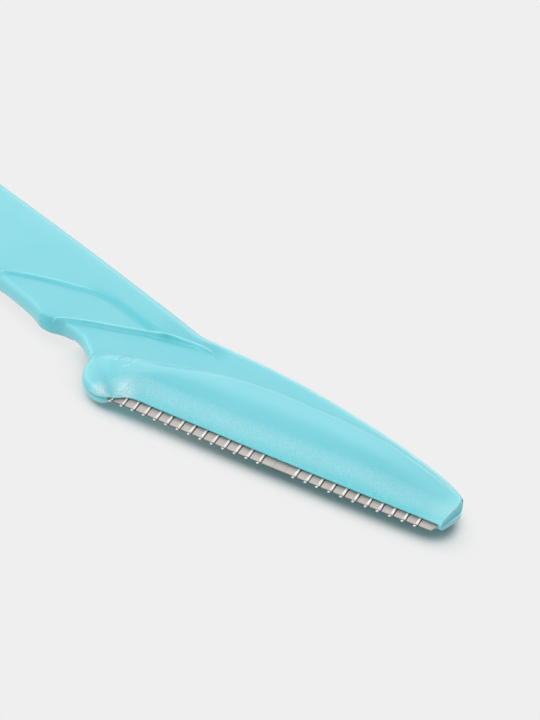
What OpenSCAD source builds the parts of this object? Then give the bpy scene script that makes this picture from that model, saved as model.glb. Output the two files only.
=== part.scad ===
// Eyebrow razor: a flat moulded handle whose head holds a wire-guarded blade between two jaws.
// X runs along the handle to the tip of the head, Y from the front to the back, Z up from the table.
// The origin is the middle of the whole outline, on the face that the razor lies on.

/* [Handle] */
// Length of the whole razor, from the tail to the tip
total_l = 150; // [120:1:180]
// Width of the grip where it meets the neck
grip_w = 9.5; // [8.5:0.1:11]
// Width of the grip close to its tail
tail_w = 7; // [5.5:0.1:8]
// Thickness of the grip
grip_t = 3.5; // [3.2:0.1:5]
// Thickness of the leaf-shaped thumb rest, one step below the grip
leaf_t = 2.9; // [2.6:0.1:3.1]
// Thickness of the neck and of the spine of the head
neck_t = 2.1; // [2:0.1:2.4]
// Length of the neck, from the corner of the scoop to the heel of the cutting edge
neck_l = 12.4; // [11:0.1:14]
// How far the front of the grip stands back from the heel of the cutting edge
grip_setback = 2.35; // [2:0.05:2.6]
// Radius of the round knob at the heel of the head
knob_r = 2.87; // [2.7:0.05:3]

/* [Head] */
// Angle between the cutting edge and the handle, in degrees
head_turn = 17; // [15:0.5:19]
// Greatest width of the head, from the cutting edge to the back
head_w = 11.1; // [10.8:0.1:12]
// Width of the head that the cover takes, from the cutting edge
cover_w = 7.55; // [7.3:0.05:7.9]
// Thickness of the closed jaws at their crest
jaw_t = 2.9; // [2.7:0.1:3.2]
// Thickness of the knob
knob_t = 2.6; // [2.4:0.1:3]
// Thickness of the closed jaws at their lips
lip_t = 1.8; // [1.6:0.1:2]
// How far the cutting edge stands out of the lips along most of its length
blade_reach = 0.5; // [0.4:0.05:0.7]

/* [Blade] */
// Length of the cutting edge that shows
edge_l = 32.7; // [31:0.1:36]
// Width of the blade
blade_w = 4.2; // [3.8:0.1:4.4]
// Thickness of the blade
blade_t = 0.3; // [0.26:0.01:0.34]
// Width of the ground bevel on each face
bevel_w = 0.55; // [0.3:0.05:0.8]
// Length of the heel of the blade that the knob hides
blade_heel_l = 3; // [2.8:0.1:3.1]

/* [Guard wire] */
// Diameter of the guard wire
wire_d = 0.24; // [0.2:0.01:0.26]
// Number of turns round the blade
turns = 24; // [18:1:24]
// Number of turns between the heel and the bare stretch
turns_before_gap = 13; // [8:1:16]
// Length of the bare stretch, in pitches
gap_pitches = 3; // [1:1:3]
// Distance from the heel of the cutting edge to the first turn
first_turn_at = 1.6; // [1.2:0.1:1.8]
// Distance from the last turn to the tip end of the cutting edge
last_turn_before_end = 1.1; // [1:0.05:1.3]

/* [Fits] */
// Clearance between the wire and the faces and edges of the blade
wire_gap = 0.06; // [0.05:0.01:0.08]
// Clearance between the wire and the pocket that holds it
pocket_gap = 0.04; // [0.03:0.01:0.05]
// Clearance between the ends of the blade and the pocket
blade_end_gap = 0.1; // [0.05:0.01:0.15]
// Clearance between the cover and the step in front of the spine
cover_gap = 0.05; // [0.03:0.01:0.08]
// Diameter of the moulded pegs that locate the blade and the cover
peg_d = 1.2; // [1:0.05:1.3]
// Clearance round each peg
peg_gap = 0.04; // [0.03:0.01:0.06]

/* [Hidden] */
plastic_colour = [0.5, 0.85, 0.89];
cover_colour = [0.45, 0.81, 0.86];
steel_colour = [0.74, 0.73, 0.71];
wire_colour = [0.9, 0.9, 0.88];

// Overrun of every cut past the faces that it goes through
cut = 1;
// Facets of the round pegs and their holes
peg_facets = 32;

// Heights of the faces above the middle plane of the razor
grip_h = grip_t / 2;
leaf_h = leaf_t / 2;
neck_h = neck_t / 2;
jaw_h = jaw_t / 2;
knob_h = knob_t / 2;
lip_h = lip_t / 2;

// How far each rounded rim reaches in from the outline
grip_rim = 1.3;
neck_rim = 0.8;
knob_rim = 1.1;
lip_rim = 0.3;
tip_rim = 0.5;
// Width of the sloping riser at each step between two levels
riser_w = 0.2;
// Length over which the tip rounds off, and the flat left at either end
tip_round = 0.8;
end_flat = 0.1;

// Places along the handle, from the heel of the cutting edge
corner_x = -neck_l;
lip_end_shares = [1.019, 0.76];
tip_x = turned([edge_l * lip_end_shares[0], blade_reach * lip_end_shares[1]])[0];
tail_x = tip_x - total_l;
grip_l = corner_x - tail_x;
axis_y = grip_setback + grip_w / 2;
back_y0 = grip_setback + grip_w;
leaf_start_x = corner_x - 0.69 * neck_l;
step_fade_x = corner_x + 1.22 * neck_l;

// Outlines, as shares: along the grip from the corner, and of the widening from tail to grip
grip_front_shares = [[1, 0], [0.78, 0.2], [0.55, 0.6], [0.35, 0.85], [0.18, 0.9], [0.065, 0.84],
                     [0.02, 0.98], [0, 1.3]];
grip_back_shares = [[1, 0], [0.78, 0.35], [0.55, 0.75], [0.35, 0.97], [0.16, 1.02], [0.08, 1],
                    [0, 0.9], [-0.06, 0.76], [-0.118, 0.61]];
// Along the neck from the corner, and of the setback of the grip
scoop_shares = [[0, 0.8], [0.04, 0.84], [0.085, 0.93], [0.135, 1.13], [0.186, 1.27], [0.294, 1.32],
                [0.4, 1.25], [0.48, 1.08], [0.55, 0.92], [0.605, 0.74]];
// Along the neck from the corner, and up to the back of the grip
step_b_shares = [[0.04, 0.14], [0.091, 0.178], [0.143, 0.246], [0.308, 0.38], [0.536, 0.53],
                 [0.759, 0.684], [0.877, 0.752], [1.072, 0.84], [1.143, 0.862], [1.218, 0.873]];
step_a_shares = [[-0.7, 0.2], [-0.563, 0.254], [-0.339, 0.415], [-0.075, 0.542], [0.086, 0.631],
                 [0.34, 0.672], [0.578, 0.676], [0.775, 0.7]];
// Along the cutting edge from its heel, and of the reach or width across it
lip_shares = [[0.003, 0.2], [0.018, 0.9], [0.034, 1.44], [0.052, 1.76], [0.08, 1.88], [0.116, 1.88],
              [0.187, 1.8], [0.27, 1.36], [0.345, 1.14], [0.49, 1], [0.75, 1], [0.97, 1],
              [1.003, 1.1], lip_end_shares];
head_back_shares = [[0.16, 1], [0.3, 0.962], [0.44, 0.907], [0.58, 0.829], [0.72, 0.734],
                    [0.86, 0.625], [0.94, 0.55], [1, 0.471], [1.026, 0.415], [1.042, 0.35],
                    [1.0425, 0.29]];
cover_line_shares = [[-0.135, 0.377], [-0.119, 0.464], [-0.098, 0.53], [-0.067, 0.603],
                     [-0.019, 0.682], [0.047, 0.744], [0.112, 0.82], [0.21, 0.915], [0.308, 0.98],
                     [0.411, 1], [0.576, 0.983], [0.705, 0.938], [0.778, 0.887], [0.886, 0.775],
                     [0.994, 0.629], [1.1, 0.477]];
// Centre of the knob, from the heel of the cutting edge, in radii
knob_shares = [-0.707, 0.767];

// Turns a point from the frame of the cutting edge to the frame of the handle
function turned(p) = [p[0] * cos(head_turn) - p[1] * sin(head_turn),
                      p[0] * sin(head_turn) + p[1] * cos(head_turn)];

// A smooth curve through hand-set points, read at a place along it
function piece_at(x, p, i = 0) = i >= len(p) - 2 || x < p[i + 1][0] ? i : piece_at(x, p, i + 1);
function slope_at(p, i) = let (a = max(i - 1, 0), b = min(i + 1, len(p) - 1))
    (p[b][1] - p[a][1]) / (p[b][0] - p[a][0]);
function curve(x, p) =
    let (i = piece_at(x, p), run = p[i + 1][0] - p[i][0], t = max(0, min(1, (x - p[i][0]) / run)))
    (2 * pow(t, 3) - 3 * pow(t, 2) + 1) * p[i][1] + (pow(t, 3) - 2 * pow(t, 2) + t) * slope_at(p, i) * run
    + (3 * pow(t, 2) - 2 * pow(t, 3)) * p[i + 1][1] + (pow(t, 3) - pow(t, 2)) * slope_at(p, i + 1) * run;
function clamped(v, low, high) = max(low, min(high, v));
function blend(a, b, t) = a + (b - a) * clamped(t, 0, 1);
function closing(d, r) = d >= r ? 1 : sqrt(1 - pow(1 - d / r, 2));

// The outlines in the frame of the handle
grip_front = [for (s = grip_front_shares)
    [corner_x - s[0] * grip_l, axis_y - tail_w / 2 - s[1] * (grip_w - tail_w) / 2]];
grip_back = [for (s = grip_back_shares)
    [corner_x - s[0] * grip_l, axis_y + tail_w / 2 + s[1] * (grip_w - tail_w) / 2]];
scoop = [for (s = scoop_shares) [corner_x + s[0] * neck_l, s[1] * grip_setback]];
step_b = [for (s = step_b_shares) [corner_x + s[0] * neck_l, s[1] * back_y0]];
step_a = [for (s = step_a_shares) [corner_x + s[0] * neck_l, s[1] * back_y0]];
lip = [for (s = lip_shares) turned([s[0] * edge_l, s[1] * blade_reach])];
head_back = [for (s = head_back_shares) turned([s[0] * edge_l, s[1] * head_w])];
cover_line = [for (s = cover_line_shares) turned([s[0] * edge_l, s[1] * cover_w])];
knob_c = knob_r * knob_shares;
knob_start_x = knob_c[0] - knob_r * 0.985;
back_line = concat(grip_back, head_back);

function knob_y(x) = knob_c[1] - sqrt(max(0, pow(knob_r, 2) - pow(x - knob_c[0], 2)));
function tail_closing(x) = closing(x - tail_x + end_flat, tail_w / 2);
function back_y(x) = axis_y + (curve(x, back_line) - axis_y) * tail_closing(x);
function front_y(x) = x < corner_x ? axis_y + (curve(x, grip_front) - axis_y) * tail_closing(x)
    : x < knob_start_x ? curve(x, scoop)
    : x < lip[0][0] ? knob_y(x)
    : curve(x, lip);

// Heights of the levels, which step down from the grip to the leaf to the neck
function front_h(x) = lookup(x, [[leaf_start_x - riser_w, grip_h], [leaf_start_x, leaf_h],
    [corner_x, leaf_h], [corner_x + riser_w * 2, neck_h]]);
function top_h(x) = lookup(x, [[corner_x + 0.88 * neck_l, grip_h], [step_fade_x, neck_h]]);
function middle_h(x) = x < leaf_start_x ? grip_h : min(leaf_h, top_h(x));
function rim_h(x) = lookup(x, [[knob_start_x - knob_rim, front_h(x)], [knob_start_x, neck_h],
    [knob_c[0], knob_h * 0.93], [0, knob_h * 0.93], [knob_r * 0.6, lip_h], [tip_x, lip_h]]);
function bulge_h(x) = lookup(x, [[knob_start_x, 0], [knob_c[0], (knob_h - neck_h) * 0.8],
    [0, (jaw_h - neck_h) * 0.75], [knob_r, jaw_h - (lip_h + neck_h) / 2],
    [tip_x - knob_r, jaw_h - (lip_h + neck_h) / 2], [tip_x, (jaw_h - neck_h) / 2]]);
function front_rim(x) = lookup(x, [[corner_x, grip_rim], [corner_x + riser_w * 2, neck_rim],
    [knob_start_x, neck_rim], [knob_c[0], knob_rim], [0, knob_rim / 2], [knob_r * 0.6, lip_rim],
    [tip_x - knob_r, lip_rim], [tip_x, tip_rim]]);
function back_rim(x) = lookup(x, [[0, grip_rim], [step_fade_x, neck_rim], [tip_x - knob_r, neck_rim],
    [tip_x, tip_rim]]);
function end_closing(x) =
    closing(x - tail_x + end_flat, grip_h) * closing(tip_x - x + 2 * end_flat, tip_round);

// One half section of the skin at a place along the handle, from the front rim to the back rim
rim_steps = 3;
pillow_steps = 4;
function rim_arc(from_y, reach, h, toward) =
    [for (k = [0:rim_steps]) let (a = 90 * k / rim_steps)
        [from_y + toward * reach * (1 - cos(a)), h * sin(a)]];
function half_section(x) =
    let (f = front_y(x), b = back_y(x), w = b - f,
         before_a = x < leaf_start_x, before_b = x < corner_x, past_b = x > step_fade_x,
         in_head = x > knob_start_x,
         a_line = max(curve(x, step_a), f + riser_w), b_line = max(curve(x, step_b), f + riser_w),
         line = before_a || in_head ? b : before_b ? a_line : b_line,
         fr = min(front_rim(x), w / 4, 0.6 * (line - f)), br = min(back_rim(x), w / 4),
         low = f + fr, high = b - br, s = min(riser_w, (high - low) / 12, (line - low) / 4),
         c = in_head ? clamped(curve(x, cover_line), low + s, high - 5 * s)
             : before_a ? low + s : before_b ? low + s / 2 : low + (line - s - low) / 4,
         b_top = past_b ? c + (high - c) * 0.4 : before_a ? c + 2 * s
             : before_b ? c + 1.5 * s : clamped(b_line, c + 1.5 * s, high - 3 * s),
         a_top = past_b ? c + (high - c) * 0.8 : before_a ? b_top + 2 * s
             : clamped(a_line, b_top + 1.5 * s, high - s),
         he = rim_h(x), hc = front_h(x), hm = middle_h(x), ht = top_h(x), bulge = bulge_h(x))
    concat(rim_arc(f, fr, he, 1),
        [for (k = [1:pillow_steps]) let (t = k / (pillow_steps + 1))
            [low + (c - low) * t, blend(he, hc, t) + bulge * 4 * t * (1 - t)]],
        [[c, hc], [b_top - s, min(hc, hm)], [b_top, hm], [a_top - s, hm], [a_top, ht]],
        [for (k = [0:rim_steps]) rim_arc(b, br, ht, -1)[rim_steps - k]]);

// Places of the sections, close together where the outline turns
function run_of(from_x, to_x, n) = [for (k = [0:n - 1]) from_x + (to_x - from_x) * k / n];
tail_places = [for (k = [0:6]) tail_x + tail_w / 2 * (1 - cos(15 * k))];
places = concat(tail_places,
    run_of(tail_x + tail_w * 0.75, leaf_start_x - 2 * riser_w, 10),
    run_of(leaf_start_x - riser_w, corner_x - riser_w, 9),
    run_of(corner_x - riser_w / 2, knob_start_x - riser_w, 16),
    run_of(knob_start_x, lip[0][0], 14),
    run_of(lip[0][0] + riser_w / 2, knob_r, 7),
    run_of(knob_r, tip_x - knob_r, 17),
    run_of(tip_x - knob_r, tip_x - tip_round, 3),
    [for (k = [0:4]) tip_x - tip_round * cos(22.5 * k)]);

// The skin of the whole moulding, grip and closed jaws, centred on the middle plane
module skin() {
    halves = [for (x = places) half_section(x)];
    n = len(halves[0]);
    ring_n = 2 * n - 2;
    points = [for (i = [0:len(places) - 1]) let (e = end_closing(places[i])) each concat(
        [for (q = halves[i]) [places[i], q[0], q[1] * e]],
        [for (k = [n - 2:-1:1]) [places[i], halves[i][k][0], -halves[i][k][1] * e]])];
    last = (len(places) - 1) * ring_n;
    faces = concat(
        [[for (k = [ring_n - 1:-1:0]) k]],
        [[for (k = [0:ring_n - 1]) last + k]],
        [for (i = [0:len(places) - 2]) for (k = [0:ring_n - 1]) let (k2 = (k + 1) % ring_n, a = i * ring_n)
            each [[a + k, a + k2, a + ring_n + k2], [a + k, a + ring_n + k2, a + ring_n + k]]]);
    polyhedron(points = points, faces = faces, convexity = 8);
}

// The plan of the part of the head that belongs to the cover, moved towards the front by a gap
module cover_plan(gap) {
    line_x = run_of(cover_line[0][0], tip_x + cut, 48);
    polygon(concat([for (x = line_x) [x, curve(x, cover_line) - gap]],
        [[tip_x + cut, curve(tip_x + cut, cover_line) - gap],
         [tip_x + cut, -knob_r], [cover_line[0][0], -knob_r]]));
}

// Half the height of the pocket, and how far it reaches from the cutting edge
wire_z = blade_t / 2 + wire_gap + wire_d / 2;
pocket_h = wire_z + wire_d / 2 + pocket_gap;
pocket_w = blade_w + wire_gap + wire_d + pocket_gap;
// The corners of the blade, as shares of its width and of its hidden heel
blade_corner_shares = [0.08, 0.18, 0.2];
heel_corner_shares = [0.1, 0.57];

// The slanted end, the back and the heel of the blade, grown by a gap for the pocket
function blade_back(grow, back_w) = [
    [edge_l + blade_w * blade_corner_shares[0] + grow, blade_w * blade_corner_shares[1]],
    [edge_l - blade_w * blade_corner_shares[2] + grow, back_w],
    [-blade_heel_l - grow, back_w],
    [-blade_heel_l - grow, blade_w * heel_corner_shares[1] - grow],
    [-blade_heel_l * heel_corner_shares[0] - grow, -grow]];

module in_head() {
    rotate(head_turn) children();
}

module pocket() {
    in_head() translate([0, 0, -pocket_h]) linear_extrude(2 * pocket_h)
        polygon(concat(blade_back(blade_end_gap, pocket_w),
            [[-blade_heel_l * heel_corner_shares[0] - blade_end_gap, -cut],
             [edge_l + blade_w * blade_corner_shares[0] + blade_end_gap, -cut]]));
}

// Places of the pegs, in the frame of the cutting edge: one through the blade, two behind the pocket
blade_peg = [-blade_heel_l * 0.55, blade_w * 0.72];
cover_pegs = [[edge_l * 0.22, (pocket_w + cover_w) * 0.47], [edge_l * 0.67, (pocket_w + cover_w) * 0.47]];
peg_top = jaw_h * 0.5;

module peg(at, from_z, r, top) {
    translate([at[0], at[1], from_z]) cylinder(r = r, h = top - from_z, $fn = peg_facets);
}

// The long moulding: grip, thumb leaf, neck, spine, lower jaw and its pegs
module handle() {
    color(plastic_colour) placed() {
        difference() {
            skin();
            linear_extrude(grip_h + cut) cover_plan(0);
            pocket();
        }
        in_head() for (at = concat(cover_pegs, [blade_peg])) peg(at, -peg_top, peg_d / 2, peg_top);
    }
}

// The upper jaw, which closes over the blade
module blade_cover() {
    color(cover_colour) placed() difference() {
        intersection() {
            skin();
            linear_extrude(grip_h + cut) cover_plan(cover_gap);
        }
        pocket();
        in_head() for (at = concat(cover_pegs, [blade_peg]))
            peg(at, -cut, peg_d / 2 + peg_gap, peg_top + peg_gap);
    }
}

// The blade: a thin strip with slanted corners, ground on both faces along its edge
module blade() {
    color(steel_colour) placed() in_head() difference() {
        translate([0, 0, -blade_t / 2]) linear_extrude(blade_t)
            polygon(concat(blade_back(0, blade_w), [[edge_l, 0]]));
        for (side = [0, 1]) mirror([0, 0, side]) translate([-blade_heel_l, 0, 0]) rotate([90, 0, 90])
            linear_extrude(edge_l + 2 * blade_heel_l)
                polygon([[-cut, blade_t * 0.05], [0, blade_t * 0.05], [bevel_w, blade_t / 2],
                         [bevel_w, blade_t], [-cut, blade_t]]);
        peg(blade_peg, -cut, peg_d / 2 + peg_gap, cut);
    }
}

// The guard wire: one unbroken wire wound round the blade, from the back wall of the pocket
wire_sides = 6;
pass_rings = 5;
bend_rings = 7;
loop_rings = 2 * (pass_rings + bend_rings);
front_bend_y = wire_z - wire_gap - wire_d / 2;
back_bend_y = blade_w + wire_gap + wire_d / 2 - wire_z;
wire_end_y = pocket_w - pocket_gap / 2;
// Distance from one turn to the next, and the share that the wire gains while it crosses the upper face
wire_pitch = (edge_l - first_turn_at - last_turn_before_end) / (turns + gap_pitches - 2);
upper_gain_share = 0.15;
// The last turn starts this share of a pitch early, so that its end clears the bend before it
last_start_share = 0.425;

function turn_x(k) = first_turn_at + wire_pitch * (k < turns_before_gap ? k : k + gap_pitches - 1);
function start_x(k) = turn_x(k) - (k == turns - 1 ? last_start_share * wire_pitch : 0);
function edge_x(k) = turn_x(k) + upper_gain_share * wire_pitch;
function wire_ring(k, j) =
    let (start = start_x(k), gain = edge_x(k) - start,
         rest = k == turns - 1 ? 0 : start_x(k + 1) - edge_x(k),
         bend = bend_rings - 1, pass = pass_rings + 1)
    j < pass_rings ? let (t = (j + 1) / pass)
        [start + gain * t, back_bend_y + (front_bend_y - back_bend_y) * t, wire_z]
    : j < pass_rings + bend_rings ? let (a = 90 - 180 * (j - pass_rings) / bend)
        [start + gain, front_bend_y - wire_z * cos(a), wire_z * sin(a)]
    : j < 2 * pass_rings + bend_rings ? let (t = (j - pass_rings - bend_rings + 1) / pass)
        [start + gain + rest * t, front_bend_y + (back_bend_y - front_bend_y) * t, -wire_z]
    : let (a = -90 + 180 * (j - 2 * pass_rings - bend_rings) / bend)
        [start + gain + rest, back_bend_y + wire_z * cos(a), wire_z * sin(a)];
wire_path = concat(
    [[turn_x(0), wire_end_y, wire_z], [turn_x(0), back_bend_y, wire_z]],
    [for (k = [0:turns - 1]) for (j = [0:loop_rings - 1])
        if (k < turns - 1 || j < loop_rings - bend_rings) wire_ring(k, j)],
    [[edge_x(turns - 1), back_bend_y, -wire_z], [edge_x(turns - 1), wire_end_y, -wire_z]]);

function unit(v) = v / norm(v);
function wire_heading(i) = i == 0 || i == len(wire_path) - 1 ? [0, i == 0 ? -1 : 1, 0]
    : unit(unit(wire_path[i + 1] - wire_path[i]) + unit(wire_path[i] - wire_path[i - 1]));
wire_points = [for (i = [0:len(wire_path) - 1])
    let (t = wire_heading(i), u = unit([1, 0, 0] - t[0] * t), v = cross(t, u))
    for (k = [0:wire_sides - 1]) let (a = 360 * k / wire_sides)
        wire_path[i] + wire_d / 2 * (cos(a) * u + sin(a) * v)];
wire_faces = concat([[for (k = [0:wire_sides - 1]) k]],
    [[for (k = [wire_sides - 1:-1:0]) (len(wire_path) - 1) * wire_sides + k]],
    [for (i = [0:len(wire_path) - 2]) for (k = [0:wire_sides - 1])
        let (k2 = (k + 1) % wire_sides, a = i * wire_sides)
        each [[a + k, a + wire_sides + k2, a + k2], [a + k, a + wire_sides + k, a + wire_sides + k2]]]);
// Least gap between parts of the wire that are half a loop or more apart along it
wire_least_gap = min([for (i = [0:len(wire_path) - 1 - loop_rings / 3])
    min([for (j = [i + loop_rings / 3:min(i + 2 * loop_rings, len(wire_path) - 1)])
        norm(wire_path[i] - wire_path[j])])]) - wire_d;
echo(wire_least_gap = wire_least_gap);

module guard_wire() {
    color(wire_colour) placed() in_head()
        polyhedron(points = wire_points, faces = wire_faces, convexity = 10);
}

// The middle of the whole outline, which becomes the origin
middle_x = (tail_x + tip_x) / 2;
middle_y = (min([for (x = places) front_y(x)]) + max([for (x = places) back_y(x)])) / 2;

module placed() {
    translate([-middle_x, -middle_y, grip_h]) children();
}

handle();
blade_cover();
blade();
guard_wire();
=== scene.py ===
"""Eyebrow razor: a flat moulded razor whose head holds a wire-guarded blade between two jaws.

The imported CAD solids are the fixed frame. Every piece here is built in millimetres in the frame of the
handle (heel of the cutting edge at zero, X along the handle, Y to the back, Z up from the middle plane)
and is then placed in the part's own frame, in metres.
"""
import logging
import math
from collections.abc import Iterator
from contextlib import contextmanager
from dataclasses import dataclass, field
from enum import Enum
from functools import cached_property

import bmesh
import bpy
import numpy as np
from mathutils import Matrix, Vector


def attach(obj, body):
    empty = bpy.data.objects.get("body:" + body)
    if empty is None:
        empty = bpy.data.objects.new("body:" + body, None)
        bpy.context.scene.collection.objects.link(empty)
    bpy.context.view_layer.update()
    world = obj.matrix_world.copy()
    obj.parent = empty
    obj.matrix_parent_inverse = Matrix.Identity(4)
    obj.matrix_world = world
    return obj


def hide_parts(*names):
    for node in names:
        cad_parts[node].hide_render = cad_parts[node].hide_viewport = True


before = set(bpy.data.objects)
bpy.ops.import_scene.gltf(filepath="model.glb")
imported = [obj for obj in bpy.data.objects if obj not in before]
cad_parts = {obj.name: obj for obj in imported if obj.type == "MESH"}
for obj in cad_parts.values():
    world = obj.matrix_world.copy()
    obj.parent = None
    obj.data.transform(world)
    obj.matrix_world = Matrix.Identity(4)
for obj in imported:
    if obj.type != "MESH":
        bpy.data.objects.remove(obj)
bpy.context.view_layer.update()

logging.basicConfig(level=logging.INFO, format="%(levelname)s %(message)s")
LOG = logging.getLogger("razor")
MM = 1000.0
NUDGE = 0.02
NOISE_SPAN = (0.3, 0.7)
BUMP = 0.25
WHITE = (1.0, 1.0, 1.0, 1.0)


class Face(Enum):
    """The two flat faces of the razor."""

    UPPER = 1
    LOWER = -1


class Cut(Enum):
    """What a cutter does to a solid."""

    TAKE_AWAY = "DIFFERENCE"
    KEEP_INSIDE = "INTERSECT"
    JOIN = "UNION"


def smooth_step(value: np.ndarray | float) -> np.ndarray:
    """Eases a value from 0 to 1, level at both ends."""
    t = np.clip(value, 0.0, 1.0)
    return t * t * (3 - 2 * t)


def ease(value: np.ndarray | float, start: float, end: float) -> np.ndarray:
    """Eases from 0 at the start to 1 at the end, which may also lie before it."""
    return smooth_step((value - start) / (end - start))


def ramp(value: np.ndarray | float) -> np.ndarray:
    """Straight rise from 0 to 1 with only its two edges eased."""
    t = np.clip(value, 0.0, 1.0)
    return 0.85 * t + 0.15 * smooth_step(t)


def closing(distance: np.ndarray, reach: np.ndarray | float) -> np.ndarray:
    """Quarter-ellipse that closes a face down to its outline.

    Args:
        distance: how far in from the outline a point lies.
        reach: how far in the rounding goes.

    Returns:
        0 on the outline, 1 from the reach inwards.
    """
    t = np.clip(1 - np.asarray(distance) / reach, 0.0, 1.0)
    return np.sqrt(np.maximum(0.0, 1 - t * t))


def bell(distance: np.ndarray, width: float) -> np.ndarray:
    """Bell curve, 1 at no distance."""
    return np.exp(-((distance / width) ** 2))


@dataclass(frozen=True)
class Curve:
    """A smooth curve through listed points, read at a place along it."""

    points: tuple[tuple[float, float], ...]

    def at(self, x: np.ndarray | float) -> np.ndarray:
        """Reads the curve.

        Args:
            x: places along the curve.

        Returns:
            The curve's height at each place, held beyond its two ends.
        """
        px, py = np.array(self.points).T
        ahead = np.minimum(np.arange(len(px)) + 1, len(px) - 1)
        behind = np.maximum(np.arange(len(px)) - 1, 0)
        slope = (py[ahead] - py[behind]) / (px[ahead] - px[behind])
        i = np.clip(np.searchsorted(px, x, side="right") - 1, 0, len(px) - 2)
        run = px[i + 1] - px[i]
        t = np.clip((x - px[i]) / run, 0.0, 1.0)
        return (
            (2 * t**3 - 3 * t**2 + 1) * py[i]
            + (t**3 - 2 * t**2 + t) * slope[i] * run
            + (3 * t**2 - 2 * t**3) * py[i + 1]
            + (t**3 - t**2) * slope[i + 1] * run
        )

    def slope(self, x: np.ndarray | float) -> np.ndarray:
        """Slope of the curve at each place."""
        x = np.asarray(x)
        return (self.at(x + NUDGE) - self.at(x - NUDGE)) / (2 * NUDGE)


@dataclass(frozen=True)
class RazorSizes:
    """Sizes of the razor in millimetres, as in the part's source."""

    # Grip, thumb leaf and neck.
    total_l: float = 149.98
    tip_spare: float = 0.45
    grip_w: float = 9.5
    tail_w: float = 7.0
    grip_h: float = 1.75
    leaf_h: float = 1.45
    neck_h: float = 1.05
    neck_l: float = 12.4
    setback: float = 2.35
    # Knob and jaws.
    knob_r: float = 2.87
    knob_h: float = 1.15
    head_turn: float = math.radians(17.0)
    head_w: float = 11.1
    cover_w: float = 7.55
    lip_h: float = 0.5
    crest_h: float = 1.45
    reach: float = 0.745
    # Blade: its cutting edge bows out between two places.
    edge_bow: float = 0.2
    bow_at: float = 19.0
    bow_half: float = 16.0
    edge_l: float = 32.7
    blade_w: float = 4.2
    blade_t: float = 0.1
    bevel_w: float = 0.1
    heel_l: float = 3.0
    slant_share: float = 0.08
    facet_share: float = 0.18
    cut_back_share: float = 0.2
    heel_front_share: float = 0.57
    # Wire, pocket and pegs.
    wire_d: float = 0.14
    wire_w: float = 0.25
    wire_gap: float = 0.006
    pocket_gap: float = 0.012
    end_gap: float = 0.1
    peg_r: float = 0.6
    # Middle of the whole outline, where the part's own frame has its zero.
    middle: tuple[float, float] = (-43.2458, 7.10019)

    @property
    def slant(self) -> float:
        """How far the blade's tip facet reaches past the cutting edge."""
        return self.blade_w * self.slant_share

    @property
    def facet(self) -> float:
        """How far in from the cutting edge the tip facet ends."""
        return self.blade_w * self.facet_share

    @property
    def cut_back(self) -> float:
        """How far the slanted end runs back along the blade."""
        return self.blade_w * self.cut_back_share

    @property
    def heel_front(self) -> float:
        """How far in from the cutting edge the heel's front corner lies."""
        return self.blade_w * self.heel_front_share

    @property
    def wire_z(self) -> float:
        """Height of the wire's middle over the blade's middle plane."""
        return self.blade_t / 2 + self.wire_gap + self.wire_d / 2

    @property
    def pocket_h(self) -> float:
        """Half the height of the pocket between the jaws."""
        return self.wire_z + self.wire_d / 2 + self.pocket_gap

    @property
    def pocket_w(self) -> float:
        """How far the pocket reaches in from the cutting edge."""
        return self.blade_w + self.wire_gap + self.wire_d + self.pocket_gap

    def bow(self, u: np.ndarray | float) -> np.ndarray:
        """How far the cutting edge bows out of its straight line."""
        return self.edge_bow * np.clip(1 - ((np.asarray(u) - self.bow_at) / self.bow_half) ** 2, 0.0, 1.0)

    def to_handle(self, u: np.ndarray | float, v: np.ndarray | float) -> tuple[np.ndarray, np.ndarray]:
        """Turns a point from the frame of the cutting edge to the frame of the handle."""
        c, s = math.cos(self.head_turn), math.sin(self.head_turn)
        return u * c - v * s, u * s + v * c

    def to_edge(self, x: np.ndarray | float, y: np.ndarray | float) -> tuple[np.ndarray, np.ndarray]:
        """Turns a point from the frame of the handle to the frame of the cutting edge."""
        c, s = math.cos(self.head_turn), math.sin(self.head_turn)
        return x * c + y * s, y * c - x * s

    def place(self, points: np.ndarray) -> np.ndarray:
        """Moves points from the handle's frame, in millimetres, to the part's frame, in metres."""
        return (points + np.array([-self.middle[0], -self.middle[1], self.grip_h])) / MM


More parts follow.
